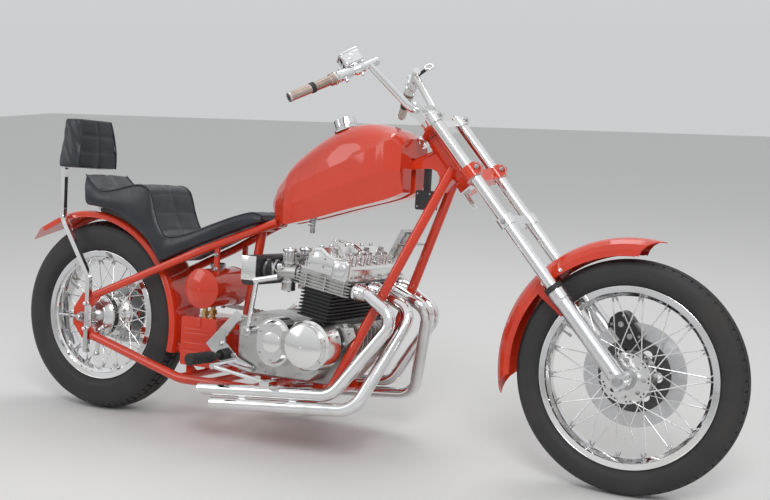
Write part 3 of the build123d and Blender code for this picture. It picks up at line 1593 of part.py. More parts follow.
def chain_spot(share, stand_off):
    """A point of the loop at a share of its length, at a distance from the sprockets' rims."""
    front = front_sprocket_radius + chain_clear + chain_height / 2
    rear = sprocket_radius + chain_clear + chain_height / 2
    turn_front = 2 * wrap
    turn_rear = 2 * pi - 2 * wrap
    left = share * (2 * straight_run + front * turn_front + rear * turn_rear)
    if left < straight_run:
        angle = sprocket_line + wrap
        centre = along(rear_sprocket_place, front_sprocket_place, left / straight_run)
        reach = rear + (front - rear) * left / straight_run
    elif left < straight_run + front * turn_front:
        angle = sprocket_line + wrap - (left - straight_run) / front
        centre = front_sprocket_place
        reach = front
    elif left < 2 * straight_run + front * turn_front:
        left -= straight_run + front * turn_front
        angle = sprocket_line - wrap
        centre = along(front_sprocket_place, rear_sprocket_place, left / straight_run)
        reach = front + (rear - front) * left / straight_run
    else:
        left -= 2 * straight_run + front * turn_front
        angle = sprocket_line - wrap - left / rear
        centre = rear_sprocket_place
        reach = rear
    reach += stand_off - chain_height / 2
    return (centre[0] + reach * cos(angle), centre[1] + reach * sin(angle))


loop_length = (
    2 * straight_run
    + (front_sprocket_radius + chain_clear + chain_height / 2) * 2 * wrap
    + (sprocket_radius + chain_clear + chain_height / 2) * (2 * pi - 2 * wrap)
)
link_count = 2 * round(loop_length / chain_pitch / 2)
link_outer = []
link_inner = []
for step in range(2 * link_count):
    waist = link_waist if step % 2 else 0.0
    link_outer.append(chain_spot(step / (2 * link_count), chain_height - waist))
    link_inner.append(chain_spot(step / (2 * link_count), waist))
with BuildSketch(Plane.XZ) as roller_outer:
    with Locations(front_sprocket_place):
        Circle(front_sprocket_radius + chain_clear + roller_height)
    with Locations(rear_sprocket_place):
        Circle(sprocket_radius + chain_clear + roller_height)
    make_hull()
with BuildSketch(Plane.XZ) as roller_inner:
    with Locations(front_sprocket_place):
        Circle(front_sprocket_radius + chain_clear)
    with Locations(rear_sprocket_place):
        Circle(sprocket_radius + chain_clear)
    make_hull()
with BuildPart() as chain:
    with BuildSketch(Plane.XZ.offset(-chain_side - roller_half_width)):
        add(roller_outer.sketch)
        add(roller_inner.sketch, mode=Mode.SUBTRACT)
    extrude(amount=2 * roller_half_width)
    for near in (-chain_half_width, roller_half_width):
        with BuildSketch(Plane.XZ.offset(-chain_side + near)):
            Polygon(*link_outer, align=None)
            Polygon(*link_inner, align=None, mode=Mode.SUBTRACT)
        extrude(amount=chain_half_width - roller_half_width)

# Side stand, drawn swung out to the floor
floor_slope = tan(radians(lean))
floor_drop = 0.685
stand_foot = (700.0, 264.0, 42.0)
sole_centre = (702.0, 268.0, 268.0 * floor_slope - floor_drop)
sole_plane = Plane(origin=sole_centre, x_dir=(1, 0, 0), z_dir=(0, -sin(radians(lean)), cos(radians(lean))))
with BuildPart() as side_stand:
    add(round_tube([stand_pivot, stand_foot], 0, 9.0))
    with BuildSketch(stand_plane.offset(-stand_eye_half)):
        Circle(14.0)
    extrude(amount=2 * stand_eye_half)
    with BuildSketch(sole_plane):
        RectangleRounded(52.0, 40.0, 12.0)
    extrude(amount=9.0)
    with BuildSketch(stand_plane.offset(-20)):
        Circle(stand_pin_radius + running_gap)
    extrude(amount=40.0, mode=Mode.SUBTRACT)
    with BuildSketch(sole_plane):
        Rectangle(200.0, 200.0)
    extrude(amount=-40.0, mode=Mode.SUBTRACT)

# Every piece with its place in the upright machine
pieces = [
    ("frame_spine", frame_spine.part, upright),
    ("frame_loop_right", frame_loop_right_part, upright),
    ("frame_loop_left", frame_loop_left_part, upright),
    ("frame_stays", frame_stays.part, upright),
    ("frame_crossmembers", frame_crossmembers.part, upright),
    ("axle_plates", axle_plates.part, upright),
    ("stand_bracket", stand_bracket.part, upright),
    ("rear_axle", rear_axle.part, upright),
    ("crankcase", crankcase.part, upright),
    ("covers_right", covers_right.part, upright),
    ("covers_left", covers_left.part, upright),
    ("cylinder_block", cylinder_block.part, engine_place),
    ("cylinder_head", cylinder_head.part, engine_place),
    ("cam_cover", cam_cover.part, engine_place),
    ("carburettors", carburettors.part, upright),
    ("intake_boots", intake_boots.part, upright),
    ("air_filter", air_filter.part, upright),
    ("exhaust_right", exhaust_right_part, upright),
    ("exhaust_left", exhaust_left.part, upright),
    ("oil_tank", oil_tank.part, upright),
    ("oil_fittings", oil_fittings.part, upright),
    ("battery_box", battery_box.part, upright),
    ("regulator", regulator.part, upright),
    ("coil_box", coil_box.part, upright),
    ("fuel_tank", fuel_tank.part, upright),
    ("fuel_cap", fuel_cap.part, upright),
    ("seat", seat.part, upright),
    ("seat_pan", seat_pan.part, upright),
    ("rear_fender", rear_fender.part, rear_fender_place),
    ("sissy_bar", sissy_bar.part, upright),
    ("sissy_pad", sissy_pad.part, upright),
    ("foot_controls", foot_controls.part, upright),
    ("foot_pegs", foot_pegs.part, upright),
    ("kick_lever", kick_lever.part, upright),
    ("chain", chain.part, upright),
    ("rear_brake_plate", rear_brake_plate.part, rear_axle_place),
    ("side_stand", side_stand.part, upright),
    ("lower_clamp", lower_clamp.part, fork_place),
    ("upper_clamp", upper_clamp.part, fork_place),
    ("fork_tubes", fork_tubes.part, fork_place),
    ("fork_sliders", fork_sliders.part, fork_place),
    ("fork_seals", fork_seals.part, fork_place),
    ("fork_brace", fork_brace.part, fork_place),
    ("lamp_bracket", lamp_bracket.part, fork_place),
    ("handlebar", handlebar.part, fork_place),
    ("grips", grips.part, fork_place),
    ("hand_controls", hand_controls.part, fork_place),
    ("front_fender", front_fender.part, fork_place * front_fender_place),
    ("front_axle", front_axle.part, fork_place),
    ("front_caliper", front_caliper.part, fork_place),
    ("front_tyre", front_tyre_part, front_axle_place),
    ("front_rim", front_rim_part, front_axle_place),
    ("front_spokes", front_spokes.part, front_axle_place),
    ("front_hub", front_hub.part, front_axle_place),
    ("front_disc", brake_disc.part, front_axle_place),
    ("rear_tyre", rear_tyre_part, rear_axle_place),
    ("rear_rim", rear_rim_part, rear_axle_place),
    ("rear_spokes", rear_spokes.part, rear_axle_place),
    ("rear_hub", rear_hub.part, rear_axle_place),
    ("rear_sprocket", rear_sprocket.part, rear_axle_place),
]

# The machine leans on its stand, its tyres on the floor, with the origin
# under the middle of its box
rear_crown_curve = (rear_crown_half_width ** 2 + rear_crown_drop ** 2) / (2 * rear_crown_drop)
floor_lift = rear_crown_curve * (1 - cos(radians(lean)))
leaning = Location((0, 0, floor_lift), (-lean, 0, 0))
boxes = [(leaning * place * solid).bounding_box() for name, solid, place in pieces]
middle_x = (min(box.min.X for box in boxes) + max(box.max.X for box in boxes)) / 2
middle_y = (min(box.min.Y for box in boxes) + max(box.max.Y for box in boxes)) / 2
stance = Location((-middle_x, -middle_y, 0)) * leaning

for name, solid, place in pieces:
    piece = stance * place * solid
    piece.label = name
    export_step(piece, "parts/" + name + ".step")
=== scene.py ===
# %% [markdown]
# A chopper motorcycle, dressed for the camera
#
# The machine itself comes from the CAD model: every tube, casing and wheel is
# already in place, in metres, leaning on its side stand. This lesson adds what
# only looks can tell: paint, plating, rubber and leather, the sewn seat, the
# tyre tread and the many small fasteners. Nothing here moves a CAD piece.

# %% Load the machine as a fixed frame
from math import atan2, cos, pi, radians, sin, sqrt

import bmesh
import bpy
from mathutils import Matrix, Vector


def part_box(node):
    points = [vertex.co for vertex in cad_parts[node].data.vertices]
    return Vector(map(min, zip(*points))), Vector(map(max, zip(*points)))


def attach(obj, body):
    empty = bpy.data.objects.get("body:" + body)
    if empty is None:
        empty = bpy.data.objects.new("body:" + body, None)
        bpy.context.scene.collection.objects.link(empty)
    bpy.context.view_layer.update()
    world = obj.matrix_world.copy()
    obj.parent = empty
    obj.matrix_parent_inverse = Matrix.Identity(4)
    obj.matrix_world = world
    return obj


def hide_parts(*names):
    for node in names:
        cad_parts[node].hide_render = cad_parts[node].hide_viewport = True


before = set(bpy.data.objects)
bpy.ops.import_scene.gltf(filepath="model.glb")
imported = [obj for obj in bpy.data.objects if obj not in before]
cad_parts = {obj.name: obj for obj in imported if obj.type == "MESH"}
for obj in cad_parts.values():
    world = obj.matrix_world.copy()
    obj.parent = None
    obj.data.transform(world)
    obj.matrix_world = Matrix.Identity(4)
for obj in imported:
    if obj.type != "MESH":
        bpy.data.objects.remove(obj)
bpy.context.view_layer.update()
print("nodes loaded:", len(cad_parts))

# %% [markdown]
# ## One upright drawing frame
#
# The machine leans 7.2 degrees, but it is easier to think of it upright, with
# X forward, Y to the left and the rear axle above X = 0. The rear tyre is a
# ring, so the middle of its box is the axle. From that and the lean comes one
# matrix, `stance`, which carries upright millimetres to the leaning model.

# %% The stance matrix
lean, rake = radians(7.2), radians(41.0)
wheelbase, front_axle_height, rear_axle_height = 1835, 328, 321
fork_offset = 60
rear_low, rear_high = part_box("rear_tyre")
rear_centre = (rear_low + rear_high) / 2
tilt = Matrix.Rotation(-lean, 4, "X")
to_axle = Matrix.Translation((0, 0, -rear_axle_height))
stance = Matrix.Translation(rear_centre) @ tilt @ Matrix.Scale(0.001, 4) @ to_axle
steer_foot = Vector((wheelbase - fork_offset * cos(rake), 0, front_axle_height - fork_offset * sin(rake)))
fork_place = stance @ Matrix.Translation(steer_foot) @ Matrix.Rotation(-rake, 4, "Y")
front_wheel_place = stance @ Matrix.Translation((wheelbase, 0, front_axle_height))
rear_wheel_place = stance @ Matrix.Translation((0, 0, rear_axle_height))
print("rear axle in the model:", [round(v, 4) for v in rear_centre])

# %% [markdown]
# ## The camera
#
# The photograph was taken from low on the right, ahead of the machine. The
# place, the two angles and the lens were solved from the wheels, whose size
# is known, so the render can be laid over the photograph.


# %% An object for some data
def show(name, data):
    """A new object, linked to the scene."""
    made = bpy.data.objects.new(name, data)
    bpy.context.scene.collection.objects.link(made)
    return made


# %% Place the camera where the photograph was taken
lens_in_pixels, picture_width, sensor_width = 1215.69, 770, 36.0
camera_data = bpy.data.cameras.new("camera")
camera_data.sensor_width = sensor_width
camera_data.lens = lens_in_pixels / picture_width * sensor_width
camera = show("camera", camera_data)
camera_spot = Vector((2726.3, -3172.4, 1231.75)) / 1000
floor_origin = Vector((rear_centre.x, rear_centre.y - rear_axle_height / 1000 * sin(lean), 0))
camera.location = camera_spot + floor_origin
camera.rotation_euler = (radians(90 - 9.54), 0, radians(27.22))
bpy.context.scene.camera = camera
print("camera at", [round(v, 3) for v in camera.location])

# %% [markdown]
# ## Shader sums
#
# Blender's shader maths is a web of small nodes. Written by hand it hides the
# idea, so `Flow` wraps one socket and lets it be added and scaled like a
# number, `Web` makes the nodes of a tree, and `Finish` owns one material.


# %% A socket that can be used in sums
class Flow:
    """One output of a shader node, usable in sums."""

    def __init__(self, web, socket):
        self.web = web
        self.socket = socket

    def sum(self, operation, first, second):
        return self.web.node("ShaderNodeMath", {"operation": operation}, {0: first, 1: second})

    def __add__(self, other):
        return self.sum("ADD", self, other)

    __radd__ = __add__

    def __mul__(self, other):
        return self.sum("MULTIPLY", self, other)

    def __sub__(self, other):
        return self.sum("SUBTRACT", self, other)

    def __rsub__(self, other):
        return self.sum("SUBTRACT", other, self)

    def wave(self):
        """Its sine."""
        return self.web.node("ShaderNodeMath", {"operation": "SINE"}, {0: self})

    def smooth(self, low, high):
        """0 below low, 1 above high, and soft between."""
        sockets = {"Value": self, "From Min": low, "From Max": high}
        return self.web.node("ShaderNodeMapRange", {"interpolation_type": "SMOOTHSTEP"}, sockets)


# %% A tree that makes its own nodes
class Web:
    """A node tree, fed with numbers and flows."""

    def __init__(self, tree):
        self.tree = tree

    def feed(self, socket, value):
        if isinstance(value, Flow):
            self.tree.links.new(value.socket, socket)
        else:
            socket.default_value = value

    def node(self, kind, settings, sockets, output=0):
        made = self.tree.nodes.new(kind)
        for key, value in settings.items():
            setattr(made, key, value)
        for key, value in sockets.items():
            self.feed(made.inputs[key], value)
        return Flow(self, made.outputs[output])


# %% A material on the Principled shader
class Finish(Web):
    """A named finish with noise, wear and bumps of its own."""

    def __init__(self, name, colour, roughness, metallic=0.0, coat=0.0):
        self.material = bpy.data.materials.new(name)
        self.material.use_nodes = True
        super().__init__(self.material.node_tree)
        self.shader = self.tree.nodes["Principled BSDF"]
        self.set("Base Color", (*colour, 1.0))
        self.set("Roughness", roughness)
        self.set("Metallic", metallic)
        self.set("Coat Weight", coat)
        self.set("Coat Roughness", 0.04)
        self.material.diffuse_color = (*colour, 1.0)

    def set(self, name, value):
        self.feed(self.shader.inputs[name], value)

    def place(self, matrix=None):
        """Object coordinates, or the same seen from a piece's own middle."""
        coordinates = self.node("ShaderNodeTexCoord", {}, {}, output=3)
        if matrix is None:
            return coordinates
        location, turn, scale = matrix.inverted().decompose()
        sockets = {"Vector": coordinates, "Location": location, "Rotation": turn.to_euler(), "Scale": scale}
        return self.node("ShaderNodeMapping", {"vector_type": "POINT"}, sockets)

    def from_axle(self, wheel_place):
        """How far a point is from the axle of a wheel, in millimetres."""
        local = self.place(wheel_place)
        flat = self.node("ShaderNodeVectorMath", {"operation": "MULTIPLY"}, {0: local, 1: (1.0, 0.0, 1.0)})
        return self.node("ShaderNodeVectorMath", {"operation": "LENGTH"}, {0: flat}, output=1)

    def noise(self, scale, detail=3.0, rough=0.5):
        sockets = {"Vector": self.place(), "Scale": scale, "Detail": detail, "Roughness": rough}
        return self.node("ShaderNodeTexNoise", {}, sockets)

    def mix(self, share, low, high):
        sockets = {"Factor": share, 6: (*low, 1.0), 7: (*high, 1.0)}
        return self.node("ShaderNodeMix", {"data_type": "RGBA"}, sockets, output=2)

    def tint(self, share, low, high):
        self.set("Base Color", self.mix(share, low, high))

    def worn(self, base, extra, patches):
        """Roughness that rises where a soft noise does."""
        self.set("Roughness", base + patches * extra)

    def bump(self, height, distance, strength):
        sockets = {"Height": height, "Distance": distance, "Strength": strength}
        self.set("Normal", self.node("ShaderNodeBump", {}, sockets))


# %% [markdown]
# ## Paint and plating
#
# The frame, tank, fenders and boxes share one orange-red gloss coat. Real
# sprayed paint is never quite level, so a faint wide noise bends its
# reflections. A film of dust near the joints breaks the shine a little.

# %% Orange-red gloss paint
red = Finish("orange_red_gloss_paint", (0.72, 0.048, 0.012), 0.28, coat=1.0)
wide = red.noise(3.0, 4.0)
dust = red.noise(38.0, 5.0, 0.6).smooth(0.52, 0.78)
red.tint(wide.smooth(0.35, 0.7), (0.62, 0.032, 0.008), (0.74, 0.048, 0.012))
red.worn(0.24, 0.10, dust)
red.set("Specular IOR Level", 0.2)
red.bump(red.noise(55.0, 1.0) + red.noise(420.0, 2.0) * 0.06, 0.0006, 0.35)

# %% Black paint, satin and stove-hard
black = Finish("black_satin_paint", (0.022, 0.022, 0.023), 0.42)
black.worn(0.36, 0.16, black.noise(60.0).smooth(0.3, 0.8))
black.bump(black.noise(700.0, 2.0), 0.0002, 0.5)

# %% [markdown]
# Plating shows its surroundings, so its colour hardly matters. What makes it
# real are the fine smears of polishing and a few dull patches, which here
# drive only the roughness.

# %% Chrome plating
chrome = Finish("bright_plating", (0.79, 0.79, 0.80), 0.06, metallic=1.0)
chrome.worn(0.045, 0.10, chrome.noise(26.0, 6.0, 0.65).smooth(0.45, 0.8))
chrome.tint(chrome.noise(9.0).smooth(0.4, 0.75), (0.80, 0.80, 0.81), (0.70, 0.69, 0.67))
chrome.bump(chrome.noise(75.0, 2.0), 0.0003, 0.18)

# %% Polished and cast alloy
polished = Finish("polished_alloy", (0.80, 0.80, 0.79), 0.16, metallic=1.0)
polished.worn(0.13, 0.15, polished.noise(90.0, 6.0, 0.7).smooth(0.4, 0.8))
polished.bump(polished.noise(240.0, 4.0), 0.0003, 0.22)

cast = Finish("cast_alloy", (0.60, 0.60, 0.59), 0.38, metallic=1.0)
grain = cast.noise(900.0, 3.0, 0.6)
# Dark patches on the cast alloy: partly grime and partly painted shade between the castings. The same patches
# raise the roughness.
grime_and_shade = cast.noise(22.0, 6.0, 0.65).smooth(0.5, 0.74)
cast.tint(grime_and_shade, (0.52, 0.52, 0.51), (0.24, 0.22, 0.20))
cast.worn(0.33, 0.22, grime_and_shade)
cast.bump(grain + cast.noise(160.0) * 0.6, 0.0005, 0.5)

satin_alloy = Finish("satin_slider_alloy", (0.72, 0.72, 0.73), 0.26, metallic=1.0)
satin_alloy.worn(0.22, 0.12, satin_alloy.noise(48.0, 5.0, 0.7).smooth(0.4, 0.8))
satin_alloy.bump(satin_alloy.noise(500.0, 2.0), 0.0002, 0.3)

# %% Steel, brass, rubber and plastic
steel = Finish("bare_steel", (0.45, 0.45, 0.46), 0.34, metallic=1.0)
steel.worn(0.28, 0.22, steel.noise(130.0, 5.0, 0.7).smooth(0.35, 0.8))
steel.tint(steel.noise(34.0, 5.0).smooth(0.55, 0.8), (0.47, 0.47, 0.48), (0.25, 0.20, 0.16))
steel.bump(steel.noise(520.0), 0.0002, 0.4)

brass = Finish("brass_fittings", (0.62, 0.42, 0.17), 0.3, metallic=1.0)
brass.worn(0.24, 0.2, brass.noise(140.0, 4.0).smooth(0.4, 0.8))

rubber = Finish("black_moulded_rubber", (0.020, 0.020, 0.021), 0.62)
rubber.worn(0.55, 0.25, rubber.noise(70.0, 5.0).smooth(0.35, 0.8))
rubber.bump(rubber.noise(650.0, 3.0), 0.0003, 0.5)

plastic = Finish("black_moulded_plastic", (0.024, 0.024, 0.026), 0.46)
plastic.worn(0.42, 0.14, plastic.noise(180.0, 4.0).smooth(0.4, 0.8))
plastic.bump(plastic.noise(1400.0, 2.0), 0.0002, 0.5)

# %% [markdown]
# A tyre wears a dry brownish-grey film over its black, thickest low on the
# side wall. The moulded side rings are finer than a mesh can carry, so they
# are waves on the distance from the axle.


# %% Tyre rubber with moulded rings
def tyre_finish(name, wheel_place, ring_from, ring_to, ring_count):
    finish = Finish(name, (0.026, 0.026, 0.028), 0.7)
    radius = finish.from_axle(wheel_place)
    film = finish.noise(7.0, 6.0, 0.6).smooth(0.42, 0.72)
    finish.tint(film * 0.5, (0.021, 0.021, 0.023), (0.062, 0.056, 0.050))
    finish.worn(0.60, 0.18, film)
    turns = (radius - ring_from) * (2 * pi * ring_count / (ring_to - ring_from))
    inside = 1.0 - radius.smooth(ring_to - 1.0, ring_to + 1.0)
    band = radius.smooth(ring_from - 1.0, ring_from + 1.0) * inside
    finish.bump(turns.wave() * band * 0.5 + finish.noise(600.0) * 0.35, 0.0007, 0.55)
    return finish


front_tyre_rubber = tyre_finish("front_tyre_rubber", front_wheel_place, 268.0, 306.0, 8)
rear_tyre_rubber = tyre_finish("rear_tyre_rubber", rear_wheel_place, 232.0, 268.0, 5)

# %% Bronze of the grips
bronze = Finish("satin_bronze_tube", (0.50, 0.40, 0.34), 0.3, metallic=1.0)
bronze.worn(0.24, 0.18, bronze.noise(60.0, 5.0, 0.7).smooth(0.4, 0.8))
bronze.tint(bronze.noise(18.0, 4.0).smooth(0.35, 0.75), (0.56, 0.45, 0.39), (0.38, 0.28, 0.23))

# %% Brake disc, turned in fine circles
disc = Finish("turned_disc_steel", (0.56, 0.56, 0.57), 0.28, metallic=1.0)
disc_radius = disc.from_axle(front_wheel_place)
circles = (disc_radius * 9.0).wave()
swept = disc_radius.smooth(104.0, 106.0)
disc.tint(swept, (0.10, 0.10, 0.10), (0.60, 0.60, 0.61))
disc.set("Roughness", 0.24 + circles * 0.05 + (1.0 - swept) * 0.25)
disc.bump(circles * 0.4 + disc.noise(300.0), 0.0002, 0.4)
print("finishes made:", len(bpy.data.materials))

# %% [markdown]
# ## Give every CAD node its finish
#
# One table pairs each finish with the nodes that wear it. A node that is
# replaced later, such as a tyre or the seat, still gets one here.

# %% The table of finishes
finish_of_nodes = [
    (red, "frame_spine frame_loop_right frame_loop_left frame_stays"),
    (red, "frame_crossmembers axle_plates stand_bracket"),
    (red, "oil_tank battery_box fuel_tank rear_fender front_fender lower_clamp"),
    (cast, "crankcase cylinder_head carburettors regulator"),
    (black, "cylinder_block seat_pan side_stand front_caliper hand_controls"),
    (polished, "covers_right covers_left cam_cover upper_clamp front_hub rear_hub"),
    (satin_alloy, "fork_sliders rear_brake_plate"),
    (chrome, "exhaust_right exhaust_left fuel_cap sissy_bar foot_controls kick_lever fork_tubes fork_brace"),
    (chrome, "lamp_bracket handlebar front_rim rear_rim front_spokes rear_spokes"),
    (steel, "rear_axle front_axle chain rear_sprocket"),
    (disc, "front_disc"),
    (plastic, "air_filter coil_box"),
    (rubber, "intake_boots foot_pegs fork_seals seat sissy_pad"),
    (brass, "oil_fittings"),
    (bronze, "grips"),
    (front_tyre_rubber, "front_tyre"),
    (rear_tyre_rubber, "rear_tyre"),
]
dressed = 0
for finish, names in finish_of_nodes:
    for name in names.split():
        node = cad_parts[name]
        if not node.material_slots:
            node.data.materials.append(finish.material)
        for slot in node.material_slots:
            slot.material = finish.material
        dressed += 1
print("nodes dressed:", dressed, "of", len(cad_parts))

# %% [markdown]
# ## A workbench for small pieces
#
# Most fittings on a motorcycle are turned, pressed or bent. `Piece` gathers
# such forms in one mesh, drawn in millimetres: `turned` is a lathe, `bar` bends
# a round bar through points, and `slab` cuts a plate from an outline. `done`
# closes the seams, turns the faces outwards and carries it all into place.


# %% Where a form sits
def facing(spot, axis, up=(0.0, 0.0, 1.0)):
    """A frame at a spot whose Z looks along an axis."""
    z = Vector(axis).normalized()
    x = Vector(up).cross(z)
    if x.length < 1e-4:
        x = Vector((1.0, 0.0, 0.0)).cross(z) if abs(z.x) < 0.9 else Vector((0.0, 1.0, 0.0)).cross(z)
    x.normalize()
    y = z.cross(x)
    matrix = Matrix((x, y, z)).transposed().to_4x4()
    matrix.translation = Vector(spot)
    return matrix


def along_y(x, y, z):
    """A frame at a point whose Z looks along the machine's Y."""
    return facing((x, y, z), (0, 1, 0), (1, 0, 0))


def ring_of(count, radius, at, turn=0.0):
    """Frames set in a circle about the Z of a frame."""
    turns = [Matrix.Rotation(turn + 2 * pi * step / count, 4, "Z") for step in range(count)]
    return [at @ turned @ Matrix.Translation((radius, 0, 0)) for turned in turns]


# %% From a mesh to an object of one finish
def into_object(name, mesh, place, finish):
    """Carry a mesh into place, turn its faces outwards and give it an object."""
    bmesh.ops.transform(mesh, matrix=place, verts=mesh.verts)
    bmesh.ops.recalc_face_normals(mesh, faces=mesh.faces)
    data = bpy.data.meshes.new(name)
    mesh.to_mesh(data)
    mesh.free()
    data.polygons.foreach_set("use_smooth", [True] * len(data.polygons))
    data.materials.append(finish.material)
    return show(name, data)


def spin_round(mesh, outline, axis, steps):
    """Carry an outline once round an axis through the origin."""
    bmesh.ops.spin(
        mesh, geom=outline, cent=(0, 0, 0), axis=axis, angle=2 * pi, steps=steps, use_merge=True
    )


def soften(mesh, edges, width, segments=2):
    """Round some edges off."""
    bmesh.ops.bevel(
        mesh, geom=edges, offset=width, segments=segments, profile=0.5, affect="EDGES", material=-1
    )


# %% The workbench
seam_width = 0.0005


class Piece:
    """A mesh under way, in the millimetres of one place."""

    def __init__(self, place=stance):
        self.mesh = bmesh.new()
        self.place = place

    def turned(self, profile, at=Matrix(), steps=32):
        """Spin a profile of radius and height about the Z of a frame."""
        first, last = profile[0], profile[-1]
        if first[0] and last[0]:
            profile = [*profile, first]
        elif first[0] or last[0]:
            profile = [(0, first[1]), *profile, (0, last[1])]
        verts = [self.mesh.verts.new((radius, 0.0, height)) for radius, height in profile]
        edges = [self.mesh.edges.new(pair) for pair in zip(verts, verts[1:])]
        before = set(self.mesh.verts) - set(verts)
        spin_round(self.mesh, verts + edges, (0, 0, 1), steps)
        made = [vert for vert in self.mesh.verts if vert not in before]
        bmesh.ops.transform(self.mesh, matrix=at, verts=made)

    def ring(self, inner, outer, low, high, at, steps):
        """A square-edged ring between two radii and two heights."""
        self.turned([(inner, low), (outer, low), (outer, high), (inner, high)], at, steps)

    def stud(self, radius, low, high, at, steps):
        """A straight stud between two heights."""
        self.turned([(0, low), (radius, low), (radius, high), (0, high)], at, steps)

    def capped(self, radius, low, high, crown, top, at, steps):
        """A stud that narrows to a crown at its top."""
        self.turned([(0, low), (radius, low), (radius, high), (crown, top), (0, top)], at, steps)

    def bolt(self, spot, axis, across=10.0, head=6.0, washer=True):
        """A hexagon bolt head with its washer, standing on a spot."""
        at = facing(spot, axis)
        base = 0.0
        if washer:
            rim = across * 0.72
            self.capped(rim, 0, 1.1, rim - 0.4, 1.5, at, 24)
            base = 1.5
        corner = across / sqrt(3)
        self.capped(corner, base, base + head * 0.8, corner * 0.82, base + head, at, 6)

    def screw(self, spot, axis, radius=5.0, head=3.5):
        """A domed screw head with a cross slot pressed into it."""
        at = facing(spot, axis)
        dome = [(radius, 0), (radius, head * 0.35), (radius * 0.85, head * 0.8), (radius * 0.5, head)]
        self.turned([(0, 0), *dome, (0, head)], at, 20)
        for turn in (0.0, pi / 2):
            bar = at @ Matrix.Translation((0, 0, head + 0.05)) @ Matrix.Rotation(turn + 0.4, 4, "Z")
            self.block((radius * 1.1, radius * 0.24, 0.5), bar)

    def block(self, size, at, bevel=0.0, segments=2):
        """A box with softened edges, centred on a frame."""
        scale = Matrix.Diagonal((*size, 1.0))
        made = bmesh.ops.create_cube(self.mesh, size=1.0, matrix=at @ scale)["verts"]
        if bevel:
            soften(self.mesh, list({edge for vert in made for edge in vert.link_edges}), bevel, segments)

    def slab(self, outline, thickness, at, bevel):
        """A plate with an outline in X and Y of a frame, thick along its Z."""
        verts = [self.mesh.verts.new(at @ Vector((x, y, 0.0))) for x, y in outline]
        face = self.mesh.faces.new(verts)
        raised = bmesh.ops.extrude_face_region(self.mesh, geom=[face])["geom"]
        top = [item for item in raised if isinstance(item, bmesh.types.BMVert)]
        bmesh.ops.translate(self.mesh, vec=at.to_3x3() @ Vector((0, 0, thickness)), verts=top)
        rims = {edge for vert in top for edge in vert.link_edges if all(end in top for end in edge.verts)}
        soften(self.mesh, list(rims), bevel)

    def bar(self, points, radius, sides=12, closed=False):
        """A round bar that follows points, its ring turned with the path."""
        path = [Vector(point) for point in points]
        count = len(path)
        rings = []
        side = None
        for index, point in enumerate(path):
            ahead = path[(index + 1) % count] if closed or index < count - 1 else point
            behind = path[index - 1] if closed or index > 0 else point
            along = (ahead - behind).normalized()
            if side is None:
                side = along.orthogonal().normalized()
            side = (side - along * side.dot(along)).normalized()
            other = along.cross(side)
            wide = radius[index] if isinstance(radius, (list, tuple)) else radius
            ring = [
                self.mesh.verts.new(point + (side * cos(turn) + other * sin(turn)) * wide)
                for turn in (2 * pi * step / sides for step in range(sides))
            ]
            rings.append(ring)
        spans = list(zip(rings, rings[1:])) + ([(rings[-1], rings[0])] if closed else [])
        for first, second in spans:
            for step in range(sides):
                after = (step + 1) % sides
                self.mesh.faces.new((first[step], first[after], second[after], second[step]))
        if not closed:
            self.mesh.faces.new(list(reversed(rings[0])))
            self.mesh.faces.new(rings[-1])

    def done(self, name, finish, slot, body="frame", instead=(), sharp=34.0):
        """Close, turn outwards, place, dress and give to a body."""
        bmesh.ops.remove_doubles(self.mesh, verts=self.mesh.verts, dist=seam_width)
        made = into_object(name, self.mesh, self.place, finish)
        made.data.set_sharp_from_angle(angle=radians(sharp))
        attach(made, body)
        if instead:
            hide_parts(*instead)
        print(name, "faces:", len(made.data.polygons))


# %% [markdown]
# A fitting whose seat is easier found than worked out is set down by `touch`,
# which sends a ray against a CAD node. `smooth_path` draws a curve through a
# few given points.


# %% Rays and curves
def touch(name, spot, axis, place=stance):
    """Where a line from a spot meets a CAD node, in the millimetres of a place."""
    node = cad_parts[name]
    inward = node.matrix_world.inverted() @ place
    way = (inward.to_3x3() @ Vector(axis)).normalized()
    found, seat = node.ray_cast(inward @ Vector(spot), way)[:2]
    if not found:
        print("no surface of", name, "near", [round(value) for value in spot])
        return Vector(spot)
    return inward.inverted() @ seat


def smooth_path(points, steps):
    """Points on a smooth curve through the given ones."""
    knots = [Vector(point) for point in points]
    knots = [knots[0] * 2 - knots[1]] + knots + [knots[-1] * 2 - knots[-2]]
    path = []
    for a, b, c, d in zip(knots, knots[1:], knots[2:], knots[3:]):
        square, cube = 2 * a - 5 * b + 4 * c - d, 3 * b - a - 3 * c + d
        for step in range(steps):
            t = step / steps
            path.append(0.5 * (2 * b + (c - a) * t + square * t ** 2 + cube * t ** 3))
    path.append(knots[-2])
    return path


# %% [markdown]
# ## Tyres with cut tread
#
# A tyre is a lathe form. The tread is drawn flat in the profile, with narrow
# strips where the grooves run. After the spin those strips, and every few
# steps the strips across the shoulders, are pushed in by an inset, which
# leaves blocks with straight walls.


